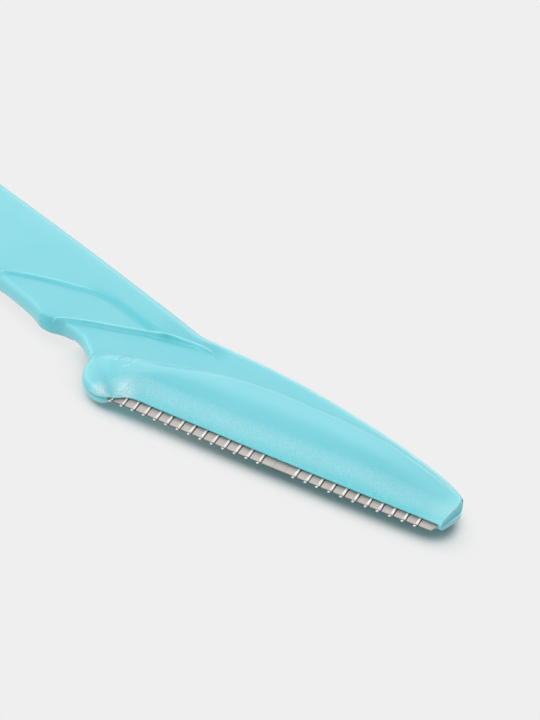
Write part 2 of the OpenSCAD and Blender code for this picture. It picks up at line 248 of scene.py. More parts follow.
@dataclass
class RazorForm:
    """Outlines, step lines and heights of the whole moulding."""

    sizes: RazorSizes = field(default_factory=RazorSizes)
    tail_spare: float = 0.05
    off_outline: float = 1.0

    def _edge_curve(self, shares: tuple[tuple[float, float], ...], width: float) -> Curve:
        """A curve given along the cutting edge and across it, turned to the handle's frame."""
        s = self.sizes
        return Curve(tuple(tuple(map(float, s.to_handle(a * s.edge_l, b * width))) for a, b in shares))

    def _neck_curve(self, shares: tuple[tuple[float, float], ...], width: float) -> Curve:
        """A curve given along the neck from the scoop's corner."""
        s = self.sizes
        return Curve(tuple((self.corner_x + a * s.neck_l, b * width) for a, b in shares))

    @property
    def corner_x(self) -> float:
        """Place of the scoop's corner."""
        return -self.sizes.neck_l

    @cached_property
    def tip_x(self) -> float:
        """Place of the tip."""
        s = self.sizes
        return float(s.to_handle(s.edge_l * 1.019, 0.43)[0]) + s.tip_spare

    @property
    def tail_x(self) -> float:
        """Place of the tail end."""
        return self.tip_x - self.sizes.tip_spare - self.sizes.total_l

    @property
    def axis_y(self) -> float:
        """Middle line of the grip."""
        return self.sizes.setback + self.sizes.grip_w / 2

    @property
    def knob(self) -> tuple[float, float]:
        """Centre of the knob."""
        r = self.sizes.knob_r
        return -0.707 * r, 0.767 * r

    @property
    def knob_start(self) -> float:
        """Place where the knob leaves the scoop."""
        return self.knob[0] - 0.985 * self.sizes.knob_r

    @cached_property
    def lip(self) -> Curve:
        """Front outline of the jaws over the blade."""
        return self._edge_curve(
            ((0.003, 0.13), (0.017, 0.47), (0.026, 0.8), (0.036, 1.08), (0.05, 1.28), (0.07, 1.37),
             (0.09, 1.37), (0.125, 1.31), (0.187, 1.28), (0.25, 1.25), (0.32, 1.21), (0.38, 1.16),
             (0.44, 1.11), (0.5, 1.065), (0.57, 1.035), (0.65, 1.01), (0.75, 1), (0.96, 1), (1, 1.0),
             (1.016, 1.02)), self.sizes.reach)

    @cached_property
    def back_line(self) -> Curve:
        """Back outline, from the tail to the tip."""
        s = self.sizes
        grip_l = self.corner_x - self.tail_x
        grip = ((1, 0), (0.78, 0.35), (0.55, 0.75), (0.35, 0.97), (0.16, 1.02), (0.08, 1), (0, 0.9),
                (-0.06, 0.78), (-0.118, 0.73))
        points = [(self.corner_x - a * grip_l, self.axis_y + s.tail_w / 2 + b * (s.grip_w - s.tail_w) / 2)
                  for a, b in grip]
        head = self._edge_curve(
            ((0.16, 0.982), (0.3, 0.958), (0.44, 0.907), (0.58, 0.829), (0.72, 0.734), (0.86, 0.625),
             (0.94, 0.55), (1, 0.471), (1.026, 0.415), (1.042, 0.35), (1.0425, 0.29)), s.head_w)
        return Curve(tuple(points) + head.points)

    @cached_property
    def grip_front(self) -> Curve:
        """Front outline of the grip."""
        s = self.sizes
        grip_l = self.corner_x - self.tail_x
        shares = ((1, 0), (0.78, 0.2), (0.55, 0.6), (0.35, 0.85), (0.18, 0.9), (0.065, 0.84), (0.02, 0.98),
                  (0, 1.3))
        return Curve(tuple((self.corner_x - a * grip_l,
                            self.axis_y - s.tail_w / 2 - b * (s.grip_w - s.tail_w) / 2) for a, b in shares))

    @cached_property
    def scoop(self) -> Curve:
        """Front outline of the neck."""
        return self._neck_curve(
            ((0, 0.84), (0.04, 0.88), (0.085, 0.95), (0.135, 1.1), (0.186, 1.24), (0.294, 1.32),
             (0.4, 1.25), (0.48, 1.08), (0.55, 0.92), (0.605, 0.74)), self.sizes.setback)

    @cached_property
    def step_b(self) -> Curve:
        """Top line of the step from the thumb leaf down to the neck."""
        s = self.sizes
        return self._neck_curve(
            ((-0.02, 0.05), (0.04, 0.14), (0.091, 0.178), (0.143, 0.246), (0.308, 0.38), (0.536, 0.53),
             (0.7, 0.641), (0.745, 0.672), (0.81, 0.702), (0.877, 0.745), (1.0, 0.802), (1.072, 0.834),
             (1.143, 0.858), (1.218, 0.873)), s.setback + s.grip_w)

    @cached_property
    def step_a(self) -> Curve:
        """Top line of the step from the grip down to the thumb leaf."""
        s = self.sizes
        return self._neck_curve(
            ((-0.95, 0.0), (-0.75, 0.125), (-0.563, 0.256), (-0.45, 0.34), (-0.338, 0.413), (-0.158, 0.513),
             (0, 0.588), (0.086, 0.628), (0.2, 0.659), (0.33, 0.678), (0.568, 0.683), (0.775, 0.69)),
            s.setback + s.grip_w)

    @cached_property
    def top_line(self) -> Curve:
        """Height of the grip's face, which sinks to that of the neck towards the head."""
        s = self.sizes
        return Curve(((-4.0, s.grip_h), (-3.0, 1.73), (-1.4, 1.62), (1.0, 1.39), (2.8, 1.13),
                      (3.7, s.neck_h), (4.2, s.neck_h)))

    @cached_property
    def fold_line(self) -> Curve:
        """Middle of the soft fold into which the upper step runs out."""
        return Curve(((-13.6, 6.92), (-11.2, 7.69), (-9.8, 8.02), (-7.6, 8.16), (-5.1, 8.09), (-3.0, 7.97)))

    @cached_property
    def cover_line(self) -> Curve:
        """Back edge of the cover."""
        return self._edge_curve(
            ((-0.135, 0.377), (-0.119, 0.464), (-0.098, 0.53), (-0.067, 0.603), (-0.019, 0.682),
             (0.047, 0.744), (0.112, 0.82), (0.21, 0.915), (0.308, 0.98), (0.411, 1), (0.576, 0.983),
             (0.705, 0.938), (0.778, 0.887), (0.886, 0.775), (0.994, 0.629), (1.1, 0.477)),
            self.sizes.cover_w)

    def tail_closing(self, x: np.ndarray) -> np.ndarray:
        """Rounding of the outline at the tail."""
        return closing(np.asarray(x) - self.tail_x + self.tail_spare, self.sizes.tail_w / 2)

    def back(self, x: np.ndarray | float) -> np.ndarray:
        """Back outline."""
        return self.axis_y + (self.back_line.at(x) - self.axis_y - 0.002) * self.tail_closing(x)

    def front(self, x: np.ndarray | float) -> np.ndarray:
        """Front outline: grip, scoop, knob and lip.

        Args:
            x: places along the handle.

        Returns:
            The outline's height across the handle at each place.
        """
        x = np.asarray(x, float)
        cx, cy = self.knob
        knob = cy - np.sqrt(np.maximum(0.0, self.sizes.knob_r**2 - (x - cx) ** 2))
        grip = self.axis_y + (self.grip_front.at(x) - self.axis_y) * self.tail_closing(x)
        return np.where(x < self.corner_x, grip, np.where(
            x < self.knob_start, self.scoop.at(x), np.where(x < self.lip.points[0][0], knob, self.lip.at(x))))

    def step_widths(self, x: np.ndarray | float) -> tuple[np.ndarray, np.ndarray]:
        """Widths of the two risers across the handle, A then B.

        Args:
            x: places along the handle.

        Returns:
            The width of riser A and of riser B at each place.
        """
        a = np.interp(x, [-21.0, -14.0, -11.5, -8.5, -5.0, -2.8], [0.2, 0.24, 0.34, 0.68, 0.9, 0.7])
        b = np.interp(x, [-11.4, -10.6, -9.6, -9.0, 0.0, 2.0], [0.8, 0.7, 0.3, 0.22, 0.24, 0.3])
        return a, b

    def lines(self, x: np.ndarray | float) -> tuple[np.ndarray, np.ndarray]:
        """Top lines of the steps A and B, moved out of the outline where a step isn't there yet.

        Args:
            x: places along the handle.

        Returns:
            The line of step A and the line of step B at each place.
        """
        x = np.asarray(x, float)
        out = self.front(x) - self.off_outline
        b = np.where(x < self.corner_x + 0.2, out, self.step_b.at(x))
        soft = np.interp(x, [-11.5, -8.5, -5.0], [0.0, 0.24, 0.36])
        a = np.where(x < self.corner_x - 0.9 * self.sizes.neck_l, out, self.step_a.at(x) + soft)
        return np.maximum(a, b), b

    def front_distance(self, x: np.ndarray, y: np.ndarray) -> np.ndarray:
        """Distance from the front outline, taken to its nearest stretch.

        Args:
            x: places along the handle.
            y: places across it.

        Returns:
            Distances in millimetres, right up to the widest rim.
        """
        step, reach = 0.04, 2.4
        px = np.arange(self.tail_x - reach, self.tip_x + reach, step)
        py = self.front(px)
        x, y = np.broadcast_arrays(np.asarray(x, float), np.asarray(y, float))
        nearest = np.rint((x - px[0]) / step).astype(int)
        best = np.full(x.shape, reach)
        for k in range(-int(reach / step), int(reach / step)):
            i = np.clip(nearest + k, 0, len(px) - 2)
            dx, dy = step, py[i + 1] - py[i]
            t = np.clip(((x - px[i]) * dx + (y - py[i]) * dy) / (dx * dx + dy * dy), 0.0, 1.0)
            best = np.minimum(best, np.hypot(x - px[i] - t * dx, y - py[i] - t * dy))
        return best

    def rims(self, x: np.ndarray | float, face: Face = Face.UPPER) -> tuple[np.ndarray, np.ndarray]:
        """How far the rounded rims reach in, at the front and at the back.

        Args:
            x: places along the handle.
            face: the face, as the lower one is rounded more at the front.

        Returns:
            The reach of the front rim and of the back rim.
        """
        s = self.sizes
        front = np.interp(x, [-40.0, self.corner_x - 3.0, self.corner_x, self.corner_x + 1.6, self.corner_x + 3.0,
                              self.knob_start - 0.5, self.knob_start + 0.6, -0.3, 1.2, self.tip_x],
                          [1.3, 0.75, 0.28, 0.24, 0.45, 0.45, 0.6, 0.55, 0.26, 0.3])
        if face is Face.LOWER:
            front = np.interp(x, [-40.0, -22.0, self.corner_x, self.corner_x + 1.4, self.corner_x + 3.5,
                                  self.knob_start, -3.0, -0.3, 1.2, self.tip_x],
                              [1.3, 2.0, 2.0, 1.7, 1.0, 0.9, 0.5, 0.5, 0.3, 0.3])
        back = np.interp(x, [0.0, 3.0, self.tip_x - s.knob_r, self.tip_x], [1.3, 0.8, 0.7, 0.4])
        return front, back

    def cover_height(self, x: np.ndarray, y: np.ndarray) -> np.ndarray:
        """Height of a jaw in front of the cover's back edge.

        Args:
            x: places along the handle.
            y: places across it.

        Returns:
            Heights over the middle plane, before the rims close.
        """
        s = self.sizes
        knob_fall, valley_deep, tip_rise = 0.12, 0.1, 0.25
        u, v = s.to_edge(x, y)
        cx, cy = self.knob
        line = self.cover_line.at(x)
        inside = (line - y) / np.sqrt(1 + np.minimum(self.cover_line.slope(x) ** 2, 6.0))
        low = self.front(x) + self.rims(x)[0]
        t = np.clip((y - low) / np.maximum(line - low, 0.4), 0.0, 1.0)
        at_line = s.neck_h + np.interp(u, [0.0, 3.0, 14.0, 26.0], [0.24, 0.22, 0.2, 0.12])
        crest = np.interp(u, [-1.0, 3.0, 22.0, 30.0], [1.3, s.crest_h, s.crest_h, 1.25])
        span = np.interp(u, [0.0, 4.0], [0.6, 0.84])
        climb = 1 - np.clip(1 - t / span, 0.0, 1.0) ** 3
        pillow = s.lip_h + (crest - s.lip_h) * climb - (crest - at_line) * ease(t, 0.6, 1.0)
        dome = s.knob_h - knob_fall * np.clip(np.hypot(x - cx, y - cy) / s.knob_r, 0.0, 1.2) ** 2
        past = u + 0.8 * (v + 0.2)
        jaw = dome + (pillow - dome) * ease(past, -0.8, 1.0)
        valley = valley_deep * bell(past, 0.7) * ease(y - low, 4.0, 0.5)
        rise = np.interp(u, [-3.0, 2.0, 8.0, 14.0], [1.1, 0.9, 0.4, tip_rise])
        return s.neck_h + (jaw - valley - s.neck_h) * ease(inside, 0.0, rise)

    def fold(self, x: np.ndarray, y: np.ndarray) -> np.ndarray:
        """How deep in the soft fold a point lies, 0 to 1."""
        along = ease(x, -12.4, -10.4) * ease(x, -2.0, -3.2)
        return along * bell(y - self.fold_line.at(x), 0.32)

    def height(self, x: np.ndarray, y: np.ndarray, face: Face) -> np.ndarray:
        """Height of the moulding's face over the middle plane.

        Args:
            x: places along the handle.
            y: places across it.
            face: which of the two faces.

        Returns:
            Heights in millimetres, zero on the outline.
        """
        s = self.sizes
        fold_deep, tip_fall, tip_spare = 0.04, 0.82, 0.03
        x, y = np.broadcast_arrays(np.asarray(x, float), np.asarray(y, float))
        line_a, line_b = self.lines(x)
        wide_a, wide_b = self.step_widths(x)
        top = self.top_line.at(x)
        leaf = np.minimum(s.leaf_h, top)
        on_leaf = ramp((y - line_b + wide_b) / wide_b)
        fold = np.clip((x + 11.5) / 3.0, 0.0, 1.0)
        on_grip = (y - line_a + wide_a) / wide_a
        on_grip = (1 - fold) * ramp(on_grip) + fold * smooth_step(on_grip)
        base = s.neck_h + (leaf - s.neck_h) * on_leaf + (top - leaf) * on_grip * on_leaf
        in_cover = (x > self.cover_line.points[0][0]) & (y < self.cover_line.at(x))
        base = np.where(in_cover, self.cover_height(x, y), base) - fold_deep * self.fold(x, y)
        u, _ = s.to_edge(x, y)
        base = s.lip_h + (base - s.lip_h) * (1 - tip_fall * ease(u, 24.0, 34.5))
        rim_f, rim_b = self.rims(x, face)
        inward = self.front_distance(x, y)
        outward = (self.back(x) - y) / np.sqrt(1 + np.minimum(self.back_line.slope(x) ** 2, 4.0))
        ends = closing(x - self.tail_x + self.tail_spare, s.grip_h) * closing(self.tip_x - x + tip_spare, 0.4)
        return base * closing(inward, rim_f) * closing(outward, rim_b) * ends


def new_object(name: str, data: bpy.types.ID) -> bpy.types.Object:
    """Makes an object from its data and links it to the scene.

    Args:
        name: name of the object.
        data: its mesh, lamp, camera or curve.

    Returns:
        The linked object.
    """
    made = bpy.data.objects.new(name, data)
    bpy.context.scene.collection.objects.link(made)
    return made


@contextmanager
def opened(mesh: bpy.types.Mesh) -> Iterator[bmesh.types.BMesh]:
    """Opens a mesh for work, and writes it back with its faces turned outwards.

    Args:
        mesh: the mesh to change.

    Yields:
        The mesh as one that can be edited.
    """
    work = bmesh.new()
    work.from_mesh(mesh)
    yield work
    bmesh.ops.recalc_face_normals(work, faces=work.faces)
    work.to_mesh(mesh)
    work.free()


@dataclass
class Kit:
    """Small mesh helpers shared by the sub-assemblies."""

    sizes: RazorSizes

    def mesh_object(self, name: str, points: np.ndarray, faces: list[tuple[int, ...]]) -> bpy.types.Object:
        """Makes a placed mesh object from points in the handle's frame.

        Args:
            name: the piece's name.
            points: points in millimetres.
            faces: their faces.

        Returns:
            The new object, linked to the scene.
        """
        mesh = bpy.data.meshes.new(name)
        mesh.from_pydata(self.sizes.place(np.asarray(points, float)).tolist(), [], faces)
        mesh.update()
        return new_object(name, mesh)

    def prism(self, name: str, outline: np.ndarray, low: float, high: float,
              top: np.ndarray | None = None) -> bpy.types.Object:
        """Extrudes an outline between two heights.

        Args:
            name: the solid's name.
            outline: its plan in the handle's frame, anticlockwise.
            low: its lower height.
            high: its upper height.
            top: its plan at the upper height, where that differs.

        Returns:
            The closed solid.
        """
        n = len(outline)
        points = [(x, y, low) for x, y in outline]
        points += [(x, y, high) for x, y in (outline if top is None else top)]
        faces = [tuple(range(n - 1, -1, -1)), tuple(range(n, 2 * n))]
        faces += [(k, (k + 1) % n, n + (k + 1) % n, n + k) for k in range(n)]
        return self.mesh_object(name, np.array(points), faces)

    def cut(self, piece: bpy.types.Object, cutter: bpy.types.Object, how: Cut) -> None:
        """Cuts a piece with another solid and removes the cutter.

        Args:
            piece: the solid that stays.
            cutter: the solid that works on it.
            how: what the cutter does.
        """
        tool = piece.modifiers.new("cut", "BOOLEAN")
        tool.operation, tool.solver, tool.object = how.value, "EXACT", cutter
        graph = bpy.context.evaluated_depsgraph_get()
        made = bpy.data.meshes.new_from_object(piece.evaluated_get(graph))
        piece.modifiers.clear()
        old, piece.data = piece.data, made
        bpy.data.meshes.remove(old)
        bpy.data.objects.remove(cutter)

    def finish_mesh(self, piece: bpy.types.Object, sharp: float = 35.0) -> None:
        """Merges doubles, drops slivers, closes gaps and shades the piece smooth up to an angle.

        Args:
            piece: the finished piece.
            sharp: angle in degrees from which an edge stays sharp.
        """
        double, sliver = 2e-7, 1e-7
        with opened(piece.data) as work:
            bmesh.ops.remove_doubles(work, verts=work.verts, dist=double)
            bmesh.ops.dissolve_degenerate(work, edges=work.edges, dist=sliver)
            bmesh.ops.triangulate(work, faces=[f for f in work.faces if len(f.verts) > 4])
            bmesh.ops.holes_fill(work, edges=[e for e in work.edges if len(e.link_faces) == 1], sides=4)
            open_edges = sum(1 for e in work.edges if not e.is_manifold)
        piece.data.shade_smooth()
        piece.data.set_sharp_from_angle(angle=math.radians(sharp))
        LOG.info("%s: %d faces, %d open edges", piece.name, len(piece.data.polygons), open_edges)

    def points_of(self, piece: bpy.types.Object) -> tuple[np.ndarray, np.ndarray, np.ndarray]:
        """Reads a placed piece's points back.

        Args:
            piece: the piece.

        Returns:
            X, Y and Z of its points in the handle's frame, in millimetres.
        """
        co = np.zeros(len(piece.data.vertices) * 3)
        piece.data.vertices.foreach_get("co", co)
        x, y, z = co.reshape(-1, 3).T * MM
        return x + self.sizes.middle[0], y + self.sizes.middle[1], z - self.sizes.grip_h

    def store(self, mesh: bpy.types.Mesh, **values: np.ndarray) -> None:
        """Writes values from 0 to 1 at a mesh's points, for its material to read by name."""
        for name, value in values.items():
            layer = mesh.attributes.new(name, "FLOAT", "POINT")
            layer.data.foreach_set("value", np.clip(value, 0.0, 1.0).astype(np.float32))


@dataclass
class Skin:
    """The closed outer surface of the whole moulding, as one fine loft."""

    form: RazorForm
    kit: Kit
    rim_rows: int = 8
    least_step: float = 0.015
    steps_end: float = 2.8
    seam_in: float = 0.07
    seam_half: float = 0.05
    below: tuple[float, ...] = (-0.7, -0.3, -0.1, -0.03)
    on_riser: tuple[float, ...] = (0, 0.06, 0.3, 0.5, 0.7, 0.94, 1)
    above: tuple[float, ...] = (0.03, 0.07, 0.13, 0.2)
    groove: tuple[float, ...] = (-0.5, -0.3, -0.16, -0.08, -0.03, 0.03, 0.08, 0.16)

    def places(self) -> np.ndarray:
        """Stations along the handle, close together where the outline turns.

        Returns:
            The stations in millimetres, in rising order.
        """
        f = self.form
        turn = np.radians(np.linspace(0, 90, 10))
        knob_x = f.knob[0] - f.sizes.knob_r * np.cos(np.radians(np.linspace(11, 90, 22)))
        # Start, end and spacing of each even run, from the tail to the tip.
        runs = ((f.tail_x + 4.5, -23.0, 2.0), (-22.5, -16.0, 0.16), (-16.0, -13.0, 0.3),
                (-12.95, f.knob_start - 0.05, 0.14), (knob_x[-1] + 0.16, 3.0, 0.16),
                (3.05, f.tip_x - 3.0, 0.36), (f.tip_x - 2.9, f.tip_x - 0.3, 0.14))
        rounded = [f.tail_x + f.sizes.tail_w / 2 * (1 - np.cos(turn)), knob_x,
                   f.tip_x - 0.15 - 0.25 * np.cos(turn), [f.tip_x - 0.07, f.tip_x]]
        return np.unique(np.round(np.concatenate([*(np.arange(*run) for run in runs), *rounded]), 4))

    def rows(self, x: float) -> np.ndarray:
        """Places of the rows across the handle at one station.

        Args:
            x: the station.

        Returns:
            Rising places from the front outline to the back.
        """
        f = self.form
        front, back = float(f.front(x)), float(f.back(x))
        wide = back - front
        rim_f, rim_b = (float(v) for v in f.rims(x))
        slope = min(abs(float(f.front(x + NUDGE) - f.front(x - NUDGE)) / (2 * NUDGE)), 2.0)
        rim_f = min(rim_f * math.hypot(1, slope), wide / 3)
        rim_b = min(rim_b, wide / 3)
        low, high = front + rim_f, back - rim_b
        line_a, line_b = (float(v) for v in f.lines(x))
        wide_a, wide_b = (float(v) for v in f.step_widths(x))
        in_head = x > f.knob_start - 0.4
        line_c = float(f.cover_line.at(x)) if in_head else low + (max(line_b, low + 1) - low) * 0.3
        line_c = min(max(line_c, low), high)
        if x > self.steps_end:
            past = float(ease(x, self.steps_end, self.steps_end + 5.0))
            spine = high - line_c
            line_b += past * (line_c + spine * 0.35 - line_b)
            line_a += past * (line_c + spine * 0.7 - line_a)
            wide_a, wide_b = (min(w, spine * 0.2) for w in (wide_a, wide_b))
        turn = np.radians(np.linspace(0, 90, self.rim_rows + 1))
        below, on_riser, above = map(np.array, (self.below, self.on_riser, self.above))
        parts = [front + rim_f * (1 - np.cos(turn)), np.linspace(low, line_c - 0.6, 15)[1:-1],
                 line_c + np.array(self.groove)]
        last = line_c
        for line, riser in ((line_b, wide_b), (line_a, wide_a)):
            foot = line - riser
            parts += [np.linspace(last + above[-1], foot + below[0], 6)[1:-1],
                      foot + below, foot + on_riser * riser, line + above]
            last = line
        parts += [np.linspace(last + above[-1], high, 6)[1:-1], (back - rim_b * (1 - np.cos(turn)))[::-1]]
        row = np.concatenate(parts)
        least = min(self.least_step, wide / (3 * len(row)))
        step = np.arange(len(row)) * least
        row = np.maximum.accumulate(np.clip(row, front, back) - step) + step
        row = np.minimum.accumulate((np.minimum(row, back) + step[::-1])[::-1])[::-1] - step[::-1]
        row[0], row[-1] = front, back
        return row

    def _set_seams(self, points: np.ndarray, xs: np.ndarray, ys: np.ndarray) -> None:
        """Draws the middle line in and its neighbours close to it, where two pieces meet on it.

        Args:
            points: the skin's points, by station and place in the ring.
            xs: the stations.
            ys: the rows at each station.
        """
        f = self.form
        m, ring = ys.shape[1], points.shape[1]
        on_head = ease(xs, f.knob_start + 0.1, f.knob_start + 0.6)
        on_knob = on_head * ease(xs, 0.8, 0.2)
        before_tip = ease(xs, f.tip_x, f.tip_x - 0.2)
        points[:, (0, m - 1), 2] = 0.0
        points[:, 0, 1] += self.seam_in * on_head * before_tip + 0.08 * on_knob
        points[:, m - 1, 1] -= self.seam_in * ease(xs, f.tip_x - 4.4, f.tip_x - 3.9) * before_tip
        for k, side in ((1, 0), (ring - 1, 0), (m - 2, m - 1), (m, m - 1)):
            points[:, k, 1] = ys[:, side] + (0.002 if side == 0 else -0.002)
            half = self.seam_half + (0.04 * on_knob if side == 0 else 0.0)
            points[:, k, 2] = np.minimum(np.abs(points[:, k, 2]), half) * (1 if k < m else -1)

    @staticmethod
    def _faces(n: int, m: int) -> list[tuple[int, ...]]:
        """Faces of the loft.

        Args:
            n: number of stations.
            m: number of rows.

        Returns:
            The quads between the rings, then both closed ends.
        """
        ring = 2 * m - 2
        faces = [(a + k, a + ring + k, a + ring + (k + 1) % ring, a + (k + 1) % ring)
                 for a in range(0, (n - 1) * ring, ring) for k in range(ring)]
        for base, way in ((0, 1), ((n - 1) * ring, -1)):
            for k in range(m - 1):
                quad = [base + k, base + k + 1, base + (ring - k - 1) % ring, base + (ring - k) % ring]
                faces.append(tuple(dict.fromkeys(quad))[::way])
        return faces

    def build(self, name: str) -> bpy.types.Object:
        """Lofts the closed skin.

        Args:
            name: name of the new object.

        Returns:
            The skin, both faces and both ends closed.
        """
        xs = self.places()
        ys = np.array([self.rows(float(x)) for x in xs])
        n, m = ys.shape
        points = np.zeros((n, 2 * m - 2, 3))
        points[:, :, 0] = xs[:, None]
        points[:, :m, 1], points[:, m:, 1] = ys, ys[:, m - 2:0:-1]
        points[:, :m, 2] = self.form.height(xs[:, None], ys, Face.UPPER)
        points[:, m:, 2] = -self.form.height(xs[:, None], ys, Face.LOWER)[:, m - 2:0:-1]
        self._set_seams(points, xs, ys)
        piece = self.kit.mesh_object(name, points.reshape(-1, 3), self._faces(n, m))
        with opened(piece.data):
            LOG.info("%s: lofted from %d stations of %d rows", name, n, m)
        return piece


@dataclass(frozen=True)
class Winding:
    """Where the guard wire passes over the blade, and how each of its loops is shaped."""

    sizes: RazorSizes
    pitch: float = 1.2
    first: float = 1.37
    before_bare: int = 13
    missing: int = 2
    after_bare: int = 11
    over_share: float = -0.17
    bend_share: float = 0.2

    @property
    def bend(self) -> float:
        """Radius of the wire's two bends."""
        return self.sizes.wire_z

    @property
    def back_bend(self) -> float:
        """How far from the cutting edge the back bend starts."""
        s = self.sizes
        return s.blade_w + s.wire_gap + s.wire_d / 2 - self.bend

    @property
    def straight(self) -> float:
        """Length of the wire's straight run across the blade."""
        return self.back_bend - self.sizes.blade_t / 2

    @property
    def lean(self) -> float:
        """How far a pass moves along the edge for each millimetre across the blade."""
        return self.over_share * self.pitch / self.straight

    def passes(self) -> list[tuple[float, bool]]:
        """Place of each pass at the cutting edge, and whether its turn is missing."""
        bare = range(self.before_bare, self.before_bare + self.missing)
        return [(self.first + k * self.pitch, k in bare) for k in range(-1, bare.stop + self.after_bare)]


@dataclass
class Pocket:
    """The slot between the jaws that holds the blade and its wire."""

    form: RazorForm
    kit: Kit
    hole_gap: float = 0.04
    peg_shares: tuple[float, float] = (0.22, 0.67)
    peg_back_share: float = 0.47
    heel_peg_shares: tuple[float, float] = (0.55, 0.72)
    notch_low: float = 0.3
    notch_past: float = 0.2
    notch_half: float = 0.1

    def slot(self, name: str) -> bpy.types.Object:
        """The pocket, open at the front, in which the blade and its wire lie.

        Args:
            name: name of the cutter.

        Returns:
            The cutter.
        """
        s = self.form.sizes
        g, tip = s.end_gap, s.edge_l + s.slant + 0.02
        outline = [(-g, -1.0), (tip, -1.0), (tip, s.facet), (s.edge_l - s.cut_back + g, s.pocket_w),
                   (-s.heel_l - g, s.pocket_w), (-s.heel_l - g, s.heel_front - g), (-g, -g / 2)]
        turned = np.array([s.to_handle(u, v) for u, v in outline])
        return self.kit.prism(name, turned, -s.pocket_h, s.pocket_h)

    def notches(self) -> list[np.ndarray]:
        """Plans of the small notches at the passes where the wire is missing.

        Returns:
            One outline for each notch.
        """
        s, w = self.form.sizes, Winding(self.form.sizes)
        low, high, half = self.notch_low, s.reach + self.notch_past, self.notch_half
        corners = ((low, -half), (low, half), (high, half), (high, -half))
        return [np.array([s.to_handle(at + w.lean * v + side, v) for v, side in corners])
                for at, bare in w.passes() if bare]

    def pegs(self) -> list[tuple[float, float]]:
        """Places of the moulded pegs, the one through the blade last.

        Returns:
            The middle of each peg.
        """
        s = self.form.sizes
        back = (s.pocket_w + s.cover_w) * self.peg_back_share
        along, across = self.heel_peg_shares
        return [*(s.to_handle(s.edge_l * share, back) for share in self.peg_shares),
                s.to_handle(-s.heel_l * along, s.blade_w * across)]

    def peg(self, name: str, at: tuple[float, float], radius: float, low: float, high: float) -> bpy.types.Object:
        """A round peg, or with a larger radius the hole for it.

        Args:
            name: name of the solid.
            at: its middle.
            radius: its radius.
            low: where it begins.
            high: where it ends.

        Returns:
            The solid.
        """
        turn = np.radians(np.arange(0, 360, 10))
        outline = np.array(at) + radius * np.stack([np.cos(turn), np.sin(turn)], 1)
        return self.kit.prism(name, outline, low, high)

    def hole(self, name: str, at: tuple[float, float], low: float, high: float) -> bpy.types.Object:
        """The hole in which a peg stands with its gap."""
        return self.peg(name, at, self.form.sizes.peg_r + self.hole_gap, low, high)


@dataclass(frozen=True)
class Tone:
    """A colour as the screen shows it, written in 0 to 255."""

    red: int
    green: int
    blue: int

    def linear(self) -> tuple[float, float, float, float]:
        """The colour in linear light, with full alpha."""
        def one(v: int) -> float:
            """One channel, by the screen's own curve."""
            c = v / 255
            return c / 12.92 if c <= 0.04045 else ((c + 0.055) / 1.055) ** 2.4
        return one(self.red), one(self.green), one(self.blue), 1.0


class NodeBench:
    """Builds node trees: adds a node, sets its inputs and links them."""

    def __init__(self, tree: bpy.types.NodeTree) -> None:
        """Keeps the tree to work on."""
        self.tree = tree

    @classmethod
    def on_material(cls, name: str) -> tuple["NodeBench", bpy.types.Material]:
        """Opens a new material with an empty tree.

        Args:
            name: name of the material.

        Returns:
            The bench on its tree, and the material.
        """
        mat = bpy.data.materials.new(name)
        mat.use_nodes = True
        mat.node_tree.nodes.clear()
        return cls(mat.node_tree), mat

    def add(self, kind: str, settings: dict[str, object] | None = None,
            **inputs: object) -> bpy.types.Node:
        """Adds a node.

        Args:
            kind: the node's type name.
            settings: its own properties.
            inputs: values or sockets for its inputs, by name with _ for a space, or by i and a number.

        Returns:
            The new node.
        """
        node = self.tree.nodes.new(kind)
        for key, value in (settings or {}).items():
            setattr(node, key, value)
        for key, value in inputs.items():
            numbered = key[0] == "i" and key[1:].isdigit()
            socket = node.inputs[int(key[1:]) if numbered else key.replace("_", " ")]
            if isinstance(value, bpy.types.NodeSocket):
                self.tree.links.new(value, socket)
            else:
                socket.default_value = value
        return node

    def math(self, kind: str, *values: object) -> bpy.types.NodeSocket:
        """Adds a Math node and returns its result."""
        inputs = {f"i{k}": v for k, v in enumerate(values)}
        return self.add("ShaderNodeMath", {"operation": kind}, **inputs).outputs[0]

    def span(self, value: bpy.types.NodeSocket, start: float, end: float,
             low: object = 0.0, high: object = 1.0) -> bpy.types.NodeSocket:
        """Maps a value's stretch from start to end onto low to high."""
        return self.add("ShaderNodeMapRange", Value=value, From_Min=start, From_Max=end,
                        To_Min=low, To_Max=high).outputs["Result"]

    def blend(self, share: bpy.types.NodeSocket, first: object, second: object) -> bpy.types.NodeSocket:
        """Mixes two colours, each a tone, a socket or four numbers, by a share."""
        first, second = (c.linear() if isinstance(c, Tone) else c for c in (first, second))
        return self.add("ShaderNodeMix", {"data_type": "RGBA"}, i0=share, i6=first, i7=second).outputs[2]

    def noise(self, at: bpy.types.NodeSocket, scale: object, detail: float = 2.0,
              **inputs: object) -> bpy.types.NodeSocket:
        """Adds a Noise texture and returns its value."""
        return self.add("ShaderNodeTexNoise", Vector=at, Scale=scale, Detail=detail, **inputs).outputs["Fac"]

    def spot(self) -> bpy.types.NodeSocket:
        """The Object coordinates."""
        return self.add("ShaderNodeTexCoord").outputs["Object"]

    def stored(self, name: str) -> bpy.types.NodeSocket:
        """A value that the mesh carries at its points."""
        return self.add("ShaderNodeAttribute", {"attribute_name": name}).outputs["Fac"]

    def finish(self, shader: bpy.types.NodeSocket, kind: str = "ShaderNodeOutputMaterial") -> None:
        """Links a shader to the tree's output."""
        self.add(kind, Surface=shader)


